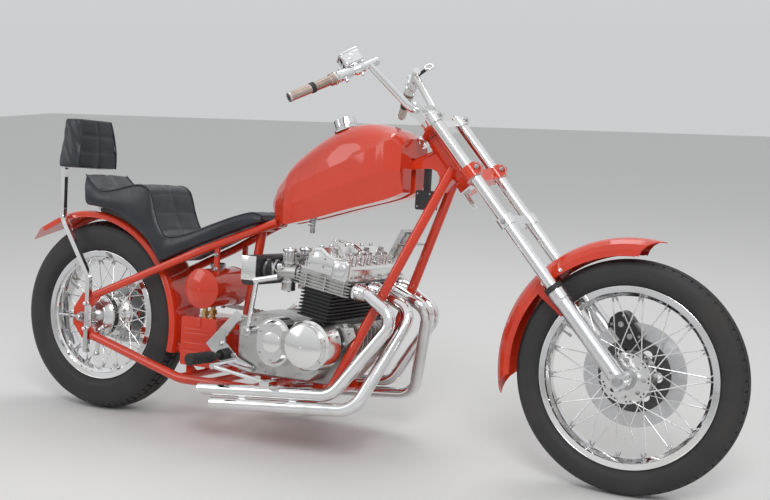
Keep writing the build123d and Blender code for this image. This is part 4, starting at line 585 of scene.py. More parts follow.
# %% Spin a casing and press its grooves
def tyre_piece(place, casing, strips, steps, crosswise, depth):
    """casing is a half profile of radius and side; strips are (side, radius, kind)."""
    piece = Piece(place)
    left = [(radius, -side) for radius, side in casing]
    middle = [(radius, side) for side, radius, kind in strips]
    right = [(radius, side) for radius, side in reversed(casing)]
    verts = [piece.mesh.verts.new((radius, side, 0.0)) for radius, side in left + middle + right]
    edges = [piece.mesh.edges.new(pair) for pair in zip(verts, verts[1:] + verts[:1])]
    spin_round(piece.mesh, verts + edges, (0, 1, 0), steps)
    piece.mesh.faces.ensure_lookup_table()
    cut = []
    for face in piece.mesh.faces:
        spot = face.calc_center_median()
        step = int(((atan2(spot.z, spot.x) + 2 * pi) % (2 * pi)) / (2 * pi) * steps)
        for strip, following in zip(strips, strips[1:]):
            if strip[0] < spot.y < following[0] and spot.xz.length > strip[1] - 6.0:
                kind = strip[2]
                period, offset = crosswise.get(kind, (1, 0))
                if kind == "groove" or kind in crosswise and (step + offset) % period == 0:
                    cut.append(face)
    bmesh.ops.recalc_face_normals(piece.mesh, faces=piece.mesh.faces)
    bmesh.ops.inset_region(piece.mesh, faces=cut, thickness=0.6, depth=-depth, use_even_offset=True)
    return piece


def crown(radius, half, drop, side):
    """The radius of a round crown at a distance from its middle."""
    curve = (half ** 2 + drop ** 2) / (2 * drop)
    return radius - curve + sqrt(curve ** 2 - side ** 2)


def mirrored(strips):
    """The same strips on both sides of the middle, from left to right."""
    left = [(-far, kind) for (near, kind), (far, after) in zip(strips, strips[1:])]
    return list(reversed(left)) + strips


# %% Front: ribs and notched shoulders; rear: square shoulder blocks beside ribs
tyre_rows = [
    # name, place, foot of the bead, side wall, crown radius, half width and drop, strips, crosswise, depth
    (
        "front_tyre", front_wheel_place, [(241.6, 25.0), (246, 25.2)],
        [(256, 25.4), (270, 38.0), (290, 41.0), (308.5, 38.0), (318.6, 30.6)], (328.0, 30.0, 9.0),
        [
            (0.0, "rib"), (5.0, "rib"), (5.001, "groove"), (8.6, "rib"), (17.5, "groove"),
            (20.8, "shoulder"), (30.0, "end"),
        ],
        {"shoulder": (5, 0)}, 3.2, front_tyre_rubber,
    ),
    (
        "rear_tyre", rear_wheel_place, [(204.6, 42.0), (212, 42.2)],
        [(220.5, 42.2), (238, 60.0), (262, 62.8), (287.5, 59.6), (304.6, 50.8)], (321.0, 50.0, 16.0),
        [(0.0, "rib"), (9.0, "groove"), (12.6, "block"), (29.0, "groove"), (33.0, "shoulder"), (50.0, "end")],
        {"shoulder": (5, 0), "block": (10, 2)}, 5.0, rear_tyre_rubber,
    ),
]
for name, place, foot, wall, crown_sizes, strips, crosswise, depth, finish in tyre_rows:
    casing = foot + [(point.x, point.y) for point in smooth_path([(*point, 0) for point in wall], 5)]
    tread = [(side, crown(*crown_sizes, side), kind) for side, kind in mirrored(strips)]
    tyre = tyre_piece(place, casing, tread, 360, crosswise, depth)
    body = name.replace("tyre", "wheel")
    tyre.done(name + "_tread", finish, "tyre", body, (name,), sharp=40)

# %% [markdown]
# ## The seat and the back pad
#
# Both are foam under black vinyl. Each starts as rings of points drawn along
# the cushion, a little too small. The points where thread holds the cover
# down, such as the edges, the middle seam and the cross seams, are pinned,
# and air pressure in a cloth simulation swells the cover between them.

# %% Black vinyl with a fine grain
# The slight blue in these blacks is a painted reflection of the sky.
vinyl = Finish("black_grained_vinyl", (0.018, 0.019, 0.026), 0.36)
vinyl.tint(vinyl.noise(9.0, 4.0).smooth(0.35, 0.75), (0.014, 0.015, 0.021), (0.026, 0.028, 0.040))
vinyl.worn(0.30, 0.16, vinyl.noise(30.0, 5.0, 0.6).smooth(0.35, 0.8))
vinyl.bump(vinyl.noise(1100.0, 3.0, 0.6) * 0.5 + vinyl.noise(60.0, 3.0) * 0.8, 0.0009, 0.45)


# %% Rings of points along a cushion
wall_steps, bottom_steps = 12, 16


def resampled(stations, spacing):
    """Rows of low point, top point, half width and distance walked, evenly spaced."""
    path = smooth_path([(bx, bz, w) for tx, tz, bx, bz, w in stations], 12)
    tops = smooth_path([(tx, tz, 0) for tx, tz, bx, bz, w in stations], 12)
    walked = [0.0]
    for first, second in zip(tops, tops[1:]):
        walked.append(walked[-1] + (second - first).length)
    count = max(8, round(walked[-1] / spacing))
    rows = []
    for number in range(count + 1):
        target = walked[-1] * number / count
        index = max(i for i, value in enumerate(walked[:-1]) if value <= target + 1e-6)
        share = (target - walked[index]) / max(walked[index + 1] - walked[index], 1e-6)
        low = path[index].lerp(path[index + 1], share)
        top = tops[index].lerp(tops[index + 1], share)
        rows.append((Vector((low.x, 0, low.y)), Vector((top.x, 0, top.y)), low.z, target))
    return rows


def strip_faces(mesh, first, second):
    """Faces between two rings of points."""
    for step in range(len(first)):
        after = (step + 1) % len(first)
        mesh.faces.new((first[step], second[step], second[after], first[after]))


def cushion(rows, columns, crown_height, edge):
    """Rings drawn between a lower and an upper line."""
    mesh = bmesh.new()
    rings = []
    for low, top, half, target in rows:
        up = top - low
        height = up.length
        up.normalize()
        ring = []
        for step in range(columns + 1):
            side = -half + edge + 2 * (half - edge) * step / columns
            rise = crown_height * (1 - (side / half) ** 2)
            ring.append(low + up * (height + rise) + Vector((0, side, 0)))
        walls = {1: [], -1: []}
        for sign, wall in walls.items():
            for step in range(1, wall_steps):
                v = 1 - step / wall_steps
                bulge = half - edge * max(0.0, v - 0.55) ** 2 / 0.2025 - 7.0 * max(0.0, 0.16 - v) / 0.16
                wall.append(low + up * (height * v) + Vector((0, sign * bulge, 0)))
        bottom = [(half - 12) * (1 - 2 * step / bottom_steps) for step in range(bottom_steps + 1)]
        ring += walls[1] + [low + Vector((0, side, 0)) for side in bottom] + walls[-1][::-1]
        rings.append([mesh.verts.new(point) for point in ring])
    for first, second in zip(rings, rings[1:]):
        strip_faces(mesh, first, second)
    return mesh, rings


def close_end(mesh, ring):
    """Fill the end of a cushion with rings that shrink to its middle."""
    middle = sum((vert.co for vert in ring), Vector()) / len(ring)
    previous = ring
    for share in (0.86, 0.66, 0.42, 0.18):
        fresh = [mesh.verts.new(middle.lerp(vert.co, share)) for vert in ring]
        strip_faces(mesh, previous, fresh)
        previous = fresh
    mesh.faces.new(previous)


# %% Swell a cover between its seams
last_frame = 20


def swell(made, pinned, pressure, cap):
    """Cloth with pressure, frames 1 to 20; no point moves further than the cap."""
    start = [vert.co.copy() for vert in made.data.vertices]
    group = made.vertex_groups.new(name="pins")
    group.add(pinned, 1.0, "REPLACE")
    cover = made.modifiers.new("swell", "CLOTH")
    cover.settings.use_pressure = True
    cover.settings.uniform_pressure_force = pressure
    cover.settings.vertex_group_mass = "pins"
    cover.settings.effector_weights.gravity = 0.0
    cover.settings.quality = 4
    cover.point_cache.frame_start = 1
    cover.point_cache.frame_end = last_frame
    scene = bpy.context.scene
    for number in range(1, last_frame + 1):
        scene.frame_set(number)
    swollen = made.evaluated_get(bpy.context.evaluated_depsgraph_get()).to_mesh()
    moves = [after.co - before for before, after in zip(start, swollen.vertices)]
    moves = [move.normalized() * cap if move.length > cap else move for move in moves]
    made.modifiers.remove(cover)
    made.vertex_groups.remove(group)
    scene.frame_set(1)
    for vert, before, move in zip(made.data.vertices, start, moves):
        vert.co = before + move
    made.data.update()
    print(made.name, "swelled by up to", round(max(move.length for move in moves) * 1000, 1), "mm")


# %% Sew a cushion
no_folds = Vector((0, 0, 0))


def sewn(name, node, stations, columns, crown_height, edge, seam_rows, seam_until, cap, folds=None):
    """A cushion with a middle seam and cross seams, replacing a CAD node."""
    spacing, channel, pressure = 7.0, 4.0, 4.0
    rows = resampled(stations, spacing)
    mesh, rings = cushion(rows, columns, crown_height, edge)
    seams = []
    for ring, (low, top, half, target) in zip(rings, rows):
        up = (top - low).normalized()
        quilted = target < seam_until
        on_cross = quilted and min(abs(target - seam) for seam in seam_rows) < spacing * 0.5
        for step in range(columns + 1):
            on_edge = step in (0, columns)
            if on_edge or on_cross or quilted and step == columns // 2:
                seams.append(ring[step])
                if not on_edge:
                    ring[step].co -= up * channel
        seams += ring[columns + wall_steps:columns + wall_steps + bottom_steps + 1]
    close_end(mesh, rings[0])
    close_end(mesh, list(reversed(rings[-1])))
    mesh.verts.index_update()
    pinned = [vert.index for vert in seams]
    edge_paths = [[ring[step].co.copy() for ring in rings] for step in (0, columns)]
    if folds:
        for vert in mesh.verts:
            vert.co += folds(vert.co)
    made = into_object(name, mesh, stance, vinyl)
    swell(made, pinned, pressure, cap)
    rounder = made.modifiers.new("smooth", "SUBSURF")
    rounder.levels = 1
    rounder.render_levels = 1
    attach(made, "frame")
    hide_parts(node)
    return edge_paths


# %% The seat: high at the back, low at the front
seat_stations = [
    # top x, top z, bottom x, bottom z, half width
    (-34, 796, -26, 695, 117),
    (6, 762, 24, 691, 119),
    (42, 745, 64, 684, 120),
    (105, 754, 103, 672, 121),
    (159, 768, 152, 650, 121),
    (206, 772, 187, 629, 121),
    (236, 758, 219, 605, 121),
    (251, 728, 240, 587, 121),
    (263, 690, 258, 567, 121),
    (286, 640, 276, 547, 121),
    (320, 611, 293, 526, 119),
    (395, 627, 362, 556, 114),
    (483, 662, 452, 597, 104),
    (557, 692, 540, 637, 86),
    (606, 706, 600, 664, 66),
    (633, 697, 636, 679, 52),
]
seat_seams = range(62, 559, 62)
seat_edges = sewn("sewn_seat", "seat", seat_stations, 26, 5.0, 11.0, seat_seams, 560.0, 0.010)

# %% The back pad: two columns by three rows on its face
pad_stations = [
    # front x, z, back x, z, half width
    (-79, 819, -161, 819, 107),
    (-77, 845, -161, 845, 105),
    (-76, 880, -161, 880, 101),
    (-80, 930, -160, 930, 93),
    (-87, 968, -159, 968, 87),
    (-91, 983, -157, 983, 83),
]


def pad_folds(point):
    """Slack folds that run down the sides of the slip cover."""
    if abs(point.y) < 76:
        return no_folds
    run = (point.x + 160) * 0.55 + (point.z - 820) * 0.30
    depth = 2.4 * sin(run * 0.16) + 1.4 * sin(run * 0.37 + point.z * 0.02)
    return Vector((0, depth * (1 if point.y > 0 else -1), 0))


pad_edges = sewn("sewn_back_pad", "sissy_pad", pad_stations, 22, 4.0, 9.0, (54, 108), 400.0, 0.008, pad_folds)

# %% Piping along the edges of the covers
piping = Piece()
for path in seat_edges + pad_edges:
    piping.bar(path, 2.6, 8)
piping.done("seat_piping", vinyl, "leather")

# %% [markdown]
# ## Fittings of the engine
#
# The cylinders lean forward, so their fittings are drawn in a frame of their
# own, with X ahead, Y to the left and Z up the bores. Every bolt stands on a
# face of the casting under it, and one table row places one row of bolts.

# %% Cam cover, head and plug wells
engine_place = stance @ Matrix.Translation((935, 0, 398)) @ Matrix.Rotation(radians(9.3), 4, "Y")
bores = (-147, -50, 50, 147)
bolts = Piece(engine_place)
for x in (-89.6, 76.4):
    for y in (-160, -98, -33, 33, 98, 160):
        bolts.bolt((x, y, 155.1), (0, 0, 1), 7, 5, washer=False)
for y in (-158, -98, 0, 98, 158):
    bolts.bolt((-49, y, 219.5), (-0.2, 0, 1), 10, 7)
for side in (-1, 1):
    for x, z in ((-70, 168), (-62, 196), (-22, 168), (-20, 192)):
        bolts.screw((x, side * 172, z), (0, side, 0), 4.6, 3.0)
plug_well = [(0, 214), (11, 214), (11, 217), (9.4, 219), (9.4, 226), (0, 226)]
for y in bores:
    bolts.turned(plug_well, Matrix.Translation((-6, y, 0)), 6)
    for reach in (-21, 21):
        cap = Matrix.Translation((48, y + reach, 0))
        bolts.capped(8.6, 218, 224, 7.4, 225.5, cap, 6)
        for height in (196, 201, 206):
            bolts.ring(14.9, 16.2, height, height + 2, cap, 24)
bolts.done("cam_cover_bolts", steel, "steel")

# %% Raised panels and the breather on the cam cover
panels = Piece(engine_place)
cover_end = [(-70, 164), (-68, 188), (-56, 204), (-42, 209), (-24, 199), (0, 193), (20, 194), (20, 164)]
for side in (-1, 1):
    at = Matrix(((1, 0, 0, 0), (0, 0, side, side * 171.8), (0, 1, 0, 0), (0, 0, 0, 1)))
    panels.slab(cover_end, 2.6, at, 1.2)
for low, high in ((-138, -60), (-38, 38), (60, 138)):
    panels.block((34, high - low, 5), Matrix.Translation((12, (low + high) / 2, 204.6)), 2.0)
panels.turned([(0, 204), (17, 204), (17, 214), (14, 219), (0, 220)], Matrix.Translation((10, 0, 0)), 36)
panels.bar([(10, 0, 214), (-14, 8, 222), (-34, 20, 226), (-52, 26, 228)], 6.0, 14)
panels.done("cam_cover_panels", polished, "bright_alloy", sharp=40)

# %% Housings at the ends of the cam
housing = Piece(engine_place)
housing.block((56, 22, 62), Matrix.Translation((44, -181.6, 171)), 9.0, 4)
housing.turned([(0, 0), (20, 0), (20, 3), (17, 5), (0, 5.6)], facing((44, -192.6, 176), (0, -1, 0)), 40)
housing.block((36, 16, 44), Matrix.Translation((40, 180, 168)), 7.0, 4)
housing.done("cam_end_housings", satin_alloy, "cast_alloy", sharp=40)

# %% Two triangular steadies over the head
steadies = Piece(engine_place)
steady_outline = [(-0.5, -16), (0.5, -16), (0.30, 20), (0.10, 36), (-0.08, 36), (-0.30, 18)]
for x, y, wide in ((-64, -60, 40), (-6, -58, 46)):
    upright_plate = Matrix(((1, 0, 0, x), (0, 0, 1, y), (0, 1, 0, 208), (0, 0, 0, 1)))
    steadies.slab([(wide * share, up) for share, up in steady_outline], 4.0, upright_plate, 0.8)
    steadies.bolt((x + 1, y + 4, 236), (0, 1, 0), 8, 5)
steadies.bar([(-62, -66, 236), (-58, -40, 236), (-8, -38, 236), (-4, -64, 236)], 3.4, 12)
steadies.done("head_steadies", chrome, "bright_alloy")

# %% Finned collars and studs at the exhaust ports
collars = Piece(engine_place)
for y in bores:
    port = facing((92.4, y, 120), (1, 0, 0))
    for step in range(3):
        base = 9.5 + step * 6.0
        collars.ring(19.2, 27 - step, base, base + 2.4, port, 40)
    collars.turned([(19.1, 8.2), (23, 8.2), (23, 30), (21, 31.5), (19.1, 31.5)], port, 40)
    for reach in (-30, 30):
        collars.bolt((100.4, y + reach, 120), (1, 0, 0), 10, 8)
        collars.capped(2.8, 0, 8, 2.2, 9, facing((109, y + reach, 120), (1, 0, 0)), 12)
collars.done("exhaust_collars", chrome, "chrome", sharp=40)

# %% [markdown]
# The carburettors stand in a row behind the head. Each gets a ribbed cap with
# four screws, a bowl flange with a drain plug, and clamps round its rubbers.

# %% Four carburettors
carbs = Piece()
clamps = Piece()
cap_profile = [
    (0, 602), (21.6, 602), (22.4, 604), (22.4, 608), (20, 611), (7, 612.4), (6.4, 614.5), (0, 614.5),
]
clamp_rows = [
    # ahead, up, radius
    (735, 540, 27.2), (767, 540, 27.2), (852, 538, 23.2), (868, 538, 23.2),
]
for y in bores:
    cap = Matrix.Translation((808, y, 0))
    carbs.turned(cap_profile, cap, 36)
    carbs.ring(19, 24, 566, 571, cap, 36)
    carbs.ring(21, 26, 508, 514, cap, 36)
    carbs.stud(4.6, 478, 484.2, cap, 6)
    carbs.turned([(21.4, 484.2), (21.4, 487), (17, 482.6), (0, 481.2)], cap, 36)
    for spoke in ring_of(4, 18.4, cap, pi / 4):
        clamps.screw((spoke.translation.x, spoke.translation.y, 609.5), (0, 0, 1), 2.8, 2.2)
    for spoke in ring_of(4, 23.6, cap, pi / 4):
        flange_spot = Matrix.Translation((spoke.translation.x, spoke.translation.y, 0))
        clamps.stud(2.6, 506.4, 508, flange_spot, 12)
    for angle in range(0, 360, 30):
        turned = cap @ Matrix.Rotation(radians(angle), 4, "Z") @ Matrix.Translation((19.6, 0, 586))
        carbs.block((1.8, 2.0, 30), turned, 0.6, 1)
    for x, z, radius in clamp_rows:
        clamps.ring(radius, radius + 1.6, -4, 4, facing((x, y, z), (1, 0, 0)), 40)
        clamps.block((8, 10, 7), Matrix.Translation((x, y - 4, z + radius + 3)), 1.2)
        clamps.stud(2.2, -8, 8, along_y(x, y - 6, z + radius + 3.6), 10)
    carbs.capped(9, 0, 7, 6, 9, facing((790, y - 24, 556), (0, -1, 0)), 24)
    carbs.bar([(790, y - 8, 540), (784, y - 30, 540), (770, y - 38, 552), (770, y - 38, 566)], 2.4, 10)
for x, z, radius in ((786, 520, 4.2), (828, 592, 3.4)):
    clamps.bar([(x, -164, z), (x, 164, z)], radius, 14)
carbs.done("carburettor_fittings", satin_alloy, "cast_alloy", sharp=40)
clamps.done("carburettor_clamps", steel, "steel", sharp=40)


# %% Crankcase and cover screws
def dome_spots(count, radius, start):
    """Spots in a circle about the middle of the domes, in X and Z."""
    turns = [radians(angle + start) for angle in range(0, 360, 360 // count)]
    return [(927 + radius * cos(turn), 333 + radius * sin(turn)) for turn in turns]


screw_rows = [
    # face across, radius, head, spots ahead and up
    (-228.0, 3.4, 2.4, dome_spots(6, 66, 20)),
    (-221.2, 4.6, 3.0, ((803, 382), (803, 278), (764, 362), (764, 298))),
    (-155.0, 5.0, 3.4, (
        (658, 378), (656, 240), (700, 384), (742, 386), (744, 230), (870, 382), (948, 384), (700, 226),
    )),
    (201.8, 4.2, 3.0, dome_spots(8, 70, 0)),
    (163.0, 5.0, 3.4, ((648, 276), (648, 372), (672, 390), (760, 388), (760, 236), (700, 236))),
]
screws = Piece()
for out, radius, head, spots in screw_rows:
    for x, z in spots:
        screws.screw((x, out, z), (0, 1 if out > 0 else -1, 0), radius, head)
screws.capped(9, 0, 5, 7.6, 6.4, facing((714, -226.4, 356), (0, -1, 0)), 6)
for side in (-1, 1):
    for x, z in ((1020, 376), (1004, 340), (968, 376)):
        screws.bolt((x, side * 142.0, z), (0, side, 0), 10, 6)
screws.done("case_screws", steel, "steel")

# %% Rings of the two right covers
ribs = Piece()
dome = facing((927, -228.0, 333), (0, -1, 0))
ribs.turned([(61.0, 3.6), (63.6, 3.6), (65.0, 1.8), (65.0, -0.4), (61.0, -0.4)], dome, 72)
ribs.turned([(34, 24.4), (36.5, 24.8), (39, 23.0), (39, 20), (34, 20)], dome, 64)
small_cover = facing((803, -221.2, 330), (0, -1, 0))
ribs.turned([(26, -0.3), (30, -0.3), (30, 2.0), (27.4, 3.0), (0, 4.4), (0, -0.3)], small_cover, 56)
ribs.done("cover_rings", polished, "bright_alloy", sharp=40)

# %% [markdown]
# ## Spokes end in nipples
#
# Each wheel has four lays of nine wires. The same sum that lays a wire gives
# the two ends where its head sits in the hub and its nipple in the rim.


# %% Both ends of every wire
wire_lays = ((1, 1, 34, 5.0), (1, -1, -34, 1.5), (-1, 1, 34, -5.0), (-1, -1, -34, -1.5))


def wire_ends(offset, hub_flange, rim_inside):
    """Both ends of every wire of a wheel."""
    for flange, face, lead, rim_side in wire_lays:
        side = flange * (offset + face * 4.6)
        for number in range(9):
            turn = radians(number * 40 + (20 if flange > 0 else 0) + (10 if face > 0 else 0))
            far = turn + radians(lead)
            start = Vector(((hub_flange - 7) * cos(turn), side, (hub_flange - 7) * sin(turn)))
            yield start, Vector((rim_inside * cos(far), rim_side, rim_inside * sin(far)))


# %% Heads, nipples, painted shade in the holes of the hub and the rim's lips
nipple_profile = [(1.85, -1), (4.6, -1), (4.6, 0.6), (3.1, 1.2), (2.9, 10), (2.4, 13), (1.85, 13)]
valve_profile = [(0, 0), (5.4, 0), (5.0, 3), (3.4, 4), (3.2, 22), (4.2, 23), (4.2, 33), (3.4, 34), (0, 34)]
lip_turns = [2 * pi * step / 12 for step in range(13)]
wheel_rows = [
    # name, place, body, flange offset and radius, inside of the rim, rim lip radius and side
    ("front", front_wheel_place, "front_wheel", 34.0, 71.0, 225.2, 254.0, 27.6),
    ("rear", rear_wheel_place, "rear_wheel", 34.0, 76.0, 185.2, 218.6, 44.4),
]
for name, place, body, offset, flange_radius, inside, lip, lip_side in wheel_rows:
    nipples = Piece(place)
    hole_shade_discs = Piece(place)
    for start, end in wire_ends(offset, flange_radius, inside):
        nipples.turned(nipple_profile, facing(end, start - end), 12)
        flange = offset if start.y > 0 else -offset
        face = Vector((start.x, flange + 2.5 * (1 if start.y > flange else -1), start.z))
        nipples.turned([(0, 0), (3.4, 0), (3.0, 1.6), (0, 2.4)], facing(face, (0, start.y - flange, 0)), 12)
        # Black discs on both faces of the flange are painted shade where the wires pass through the hub.
        for side in (-1, 1):
            spot = Vector((start.x, flange + side * 2.45, start.z))
            hole_shade_discs.stud(2.6, 0, 0.25, facing(Matrix.Rotation(radians(5), 3, "Y") @ spot, (0, side, 0)), 12)
    valve = facing((-(inside + 7) * cos(0.5), 0, (inside + 7) * sin(0.5)), (cos(0.5), 0, -sin(0.5)))
    nipples.turned(valve_profile, valve, 20)
    nipples.done(name + "_nipples", steel, "steel", body)
    hole_shade_discs.done(name + "_hub_hole_shade", black, "black_paint", body)
    lips = Piece(place)
    for side in (-1, 1):
        ring = along_y(0, side * lip_side, 0)
        lips.turned([(lip - 0.6 + 2.1 * cos(turn), 2.1 * sin(turn)) for turn in lip_turns], ring, 120)
        lips.turned([(lip - 13.6, side * 0.4), (lip - 12.4, side * 1.5), (lip - 11.2, side * 0.4)], ring, 120)
    lips.done(name + "_rim_lips", chrome, "chrome", body, sharp=50)

# %% Disc bolts, hub rings and the sprocket's nuts
hub_parts = Piece(front_wheel_place)
for spoke in ring_of(6, 40, along_y(0, 55.5, 0)):
    hub_parts.bolt(spoke.translation, (0, 1, 0), 13, 6)
hub_parts.ring(25, 27.6, 60, 62, along_y(0, -100, 0), 48)
hub_parts.turned([(24.2, 0), (30, 0), (31.6, 2), (31.6, 5), (30, 6.6), (24.2, 6.6)], along_y(0, -43.2, 0), 56)
hub_parts.done("front_hub_fittings", steel, "steel", "front_wheel")

sprocket_parts = Piece(rear_wheel_place)
for spoke in ring_of(5, 40, along_y(0, 95.6, 0), 0.63):
    sprocket_parts.bolt(spoke.translation, (0, 1, 0), 13, 8)
sprocket_parts.turned([(24, 0), (31, 0), (31, 3), (28, 4.6), (24, 4.6)], along_y(0, 95.5, 0), 48)
sprocket_parts.done("sprocket_nuts", steel, "steel", "rear_wheel")

# %% The brake panel's rings, screws and bolts
panel = Piece(rear_wheel_place)
panel_side = along_y(0, -63, 0)
for height in (-0.5, -4.5):
    band = [(77.6, height - 1.6), (79.3, height - 1.2), (79.3, height + 1.2), (77.6, height + 1.6)]
    panel.turned(band, panel_side, 96)
panel.turned([(52, -20.6), (55, -19.4), (56.6, -17.8), (56.6, -15)], panel_side, 96)
for spoke in ring_of(4, 64, along_y(0, -78.4, 0), 0.5):
    panel.screw(spoke.translation, (0, -1, 0), 4.0, 2.6)
panel.bolt((34, -101.2, -124), (0, -1, 0), 10, 6)
panel.bolt((40, -97.2, -44), (0, -1, 0), 12, 7)
panel.done("brake_panel_rings", chrome, "chrome", sharp=45)

# %% [markdown]
# The chain runs along two straight lines and round two arcs. Walking that
# loop in equal steps gives the place of every link's pin.

# %% Sizes of the chain's loop
rear_reach, front_reach, pitch = 98.47, 40.40, 15.875
shaft_ahead, shaft_up = 700.0, 4.0
span = sqrt(shaft_ahead ** 2 + shaft_up ** 2)
chain_line = atan2(shaft_up, shaft_ahead)
reach_change = 58.07
wrap = pi / 2 - atan2(reach_change, sqrt(span ** 2 - reach_change ** 2))
run = span * sin(wrap)
front_arc = front_reach * 2 * wrap
around = 2 * run + front_arc + rear_reach * (2 * pi - 2 * wrap)
links = 2 * round(around / pitch / 2)


# %% Chain pins, link by link
def chain_spot(walked):
    """The place on the loop after so many millimetres, in X and Z."""
    if walked < run:
        angle, share = chain_line + wrap, walked / run
    elif walked < run + front_arc:
        angle, share = chain_line + wrap - (walked - run) / front_reach, 1.0
    elif walked < 2 * run + front_arc:
        angle, share = chain_line - wrap, 1 - (walked - run - front_arc) / run
    else:
        angle, share = chain_line - wrap - (walked - 2 * run - front_arc) / rear_reach, 0.0
    reach = rear_reach + (front_reach - rear_reach) * share
    return shaft_ahead * share + reach * cos(angle), 321 + shaft_up * share + reach * sin(angle)


pins = Piece()
pin_head = [(0, 0), (2.9, 0), (2.6, 1.0), (0, 1.3)]
for number in range(links):
    x, z = chain_spot(around * number / links)
    for side in (-1, 1):
        pins.turned(pin_head, facing((x, 92 + side * 8.9, z), (0, side, 0)), 10)
pins.done("chain_pins", steel, "steel")

# %% [markdown]
# ## Fork, clamps and handlebar
#
# These ride the fork body, so they turn with it. Their frame has its origin at
# the foot of the steering axis, X ahead of it, Y to the left and Z up it.

# %% Caps, clamp bolts, riser screws and the foot of each leg
fork_steel = Piece(fork_place)
fork_chrome = Piece(fork_place)
leg_cap = [(0, 0), (17.2, 0), (17.2, 2), (15, 4), (13, 4), (13, 12), (11, 13.6), (0, 13.6)]
socket_screw = [(0, 0), (4.6, 0), (4.6, 4.4), (2.4, 4.6), (2.2, 2.4), (0, 2.4)]
riser_ring = [(15, 14), (17, 14), (17, 16.4), (15, 17.4)]
slider_ring = [(24.2, 0), (26.4, 0), (26.4, 2.4), (24.2, 3.2)]
brake_button = [(0, 0), (4.4, 0), (3.6, 2.6), (0, 3.2)]
for side in (-1, 1):
    leg = 95 * side
    top = Matrix.Translation((60, leg, 926))
    fork_chrome.turned(leg_cap, top, 40)
    fork_steel.capped(6, 13.6, 16.6, 4.6, 18, top, 6)
    for ahead, reach, height in ((85, 7.0, 909), (87, 15.0, 717)):
        for end in (-1, 1):
            fork_steel.bolt((ahead, leg + end * reach, height), (0, end, 0), 10, 6)
    fork_steel.bolt((60, leg + side * 25, 541), (0, side, 0), 11, 6)
    for end in (-7, 7):
        fork_steel.turned(socket_screw, Matrix.Translation((20, 50 * side + end, 1007.4)), 20)
    fork_chrome.turned(riser_ring, Matrix.Translation((20, 50 * side, 920)), 36)
    for end in (-14, 14):
        fork_steel.capped(5, 0, 5, 3.8, 6, facing((60 + end, leg, -18), (0, 0, -1)), 6)
    fork_chrome.block((46, 40, 9), Matrix.Translation((60, leg, -14.5)), 3.0)
    fork_chrome.turned(slider_ring, Matrix.Translation((60, leg, 262)), 48)
    fork_steel.turned(brake_button, facing((60, leg + side * 24, 30), (0, side, 0)), 20)

# %% The stem's nut and the key switch
stem_nut = [(0, 0), (17, 0), (17, 1.6), (15.4, 2.4), (15.4, 10), (13.6, 12), (0, 12)]
fork_chrome.turned(stem_nut, Matrix.Translation((0, 0, 930)), 6)
key_ring = [(9, 0), (13.2, 0), (13.2, 2.4), (11, 3.6), (9, 3.6)]
fork_chrome.turned(key_ring, Matrix.Translation((-38, 0, 928)), 36)
fork_steel.block((2.2, 10, 1.2), Matrix.Translation((-38, 0, 928.6)))
key_switch = [(0, -3), (9.6, -3), (10.4, 2), (9.4, 4.4), (6.4, 4.4), (5.8, 1.4), (0, 1.4)]
fork_chrome.turned(key_switch, facing((-38, -12.6, 913), (-0.3, -1, 0.1)), 32)
fork_steel.done("fork_bolts", steel, "steel", "fork")
fork_chrome.done("fork_caps", chrome, "chrome", "fork")

# %% Caliper screws
caliper = Piece(fork_place)
slide_pin = [(0, 0), (8.2, 0), (8.2, 5.6), (7.4, 6.4), (4.2, 6.4), (4.0, 2.4), (0, 2.4)]
for z in (92, 134):
    seat = touch("front_caliper", (119, -40, z), (0, 1, 0), fork_place)
    caliper.turned(slide_pin, facing(seat, (0, -1, 0)), 24)
    far = touch("front_caliper", (119, 160, z + 0.5), (0, -1, 0), fork_place)
    caliper.bolt(far, (0, 1, 0), 13, 7)
for x, z in ((97, 76), (97, 150), (139, 76), (139, 150)):
    seat = touch("front_caliper", (x, -40, z), (0, 1, 0), fork_place)
    caliper.turned([(0, 0), (4.2, 0), (4.2, 1.6), (3.0, 3.0), (0, 3.4)], facing(seat, (0, -1, 0)), 20)
caliper.done("caliper_bolts", steel, "steel", "fork")

# %% The front fender's screws and the lamp bracket's bolt
stays = Piece(fork_place)
wide_head = [(0, -0.4), (6.4, -0.4), (6.4, 1.2), (4.6, 3.4), (0, 4.2)]
for side in (-1, 1):
    stays.bolt((48, side * 54.2, 250), (0, side, 0), 12, 6)
    for ahead in (29, 91):
        seat = touch("front_fender", (ahead, side * 68, 346), (0, -side, 0), fork_place)
        stays.turned(wide_head, facing(seat, (0, side, 0)), 24)
stays.bolt((8, -52, 692.4), (0, 0, -1), 10, 6)
stays.done("fender_bolts", chrome, "chrome", "fork")

rolled = Piece(fork_place)
for side in (-1, 1):
    turns = [radians(angle) for angle in range(48, 143, 2)]
    rolled.bar([(60 + 338.6 * cos(turn), side * 49.2, 338.6 * sin(turn)) for turn in turns], 2.3, 12)
rolled.done("front_fender_edge", red, "red_paint", "fork", sharp=60)
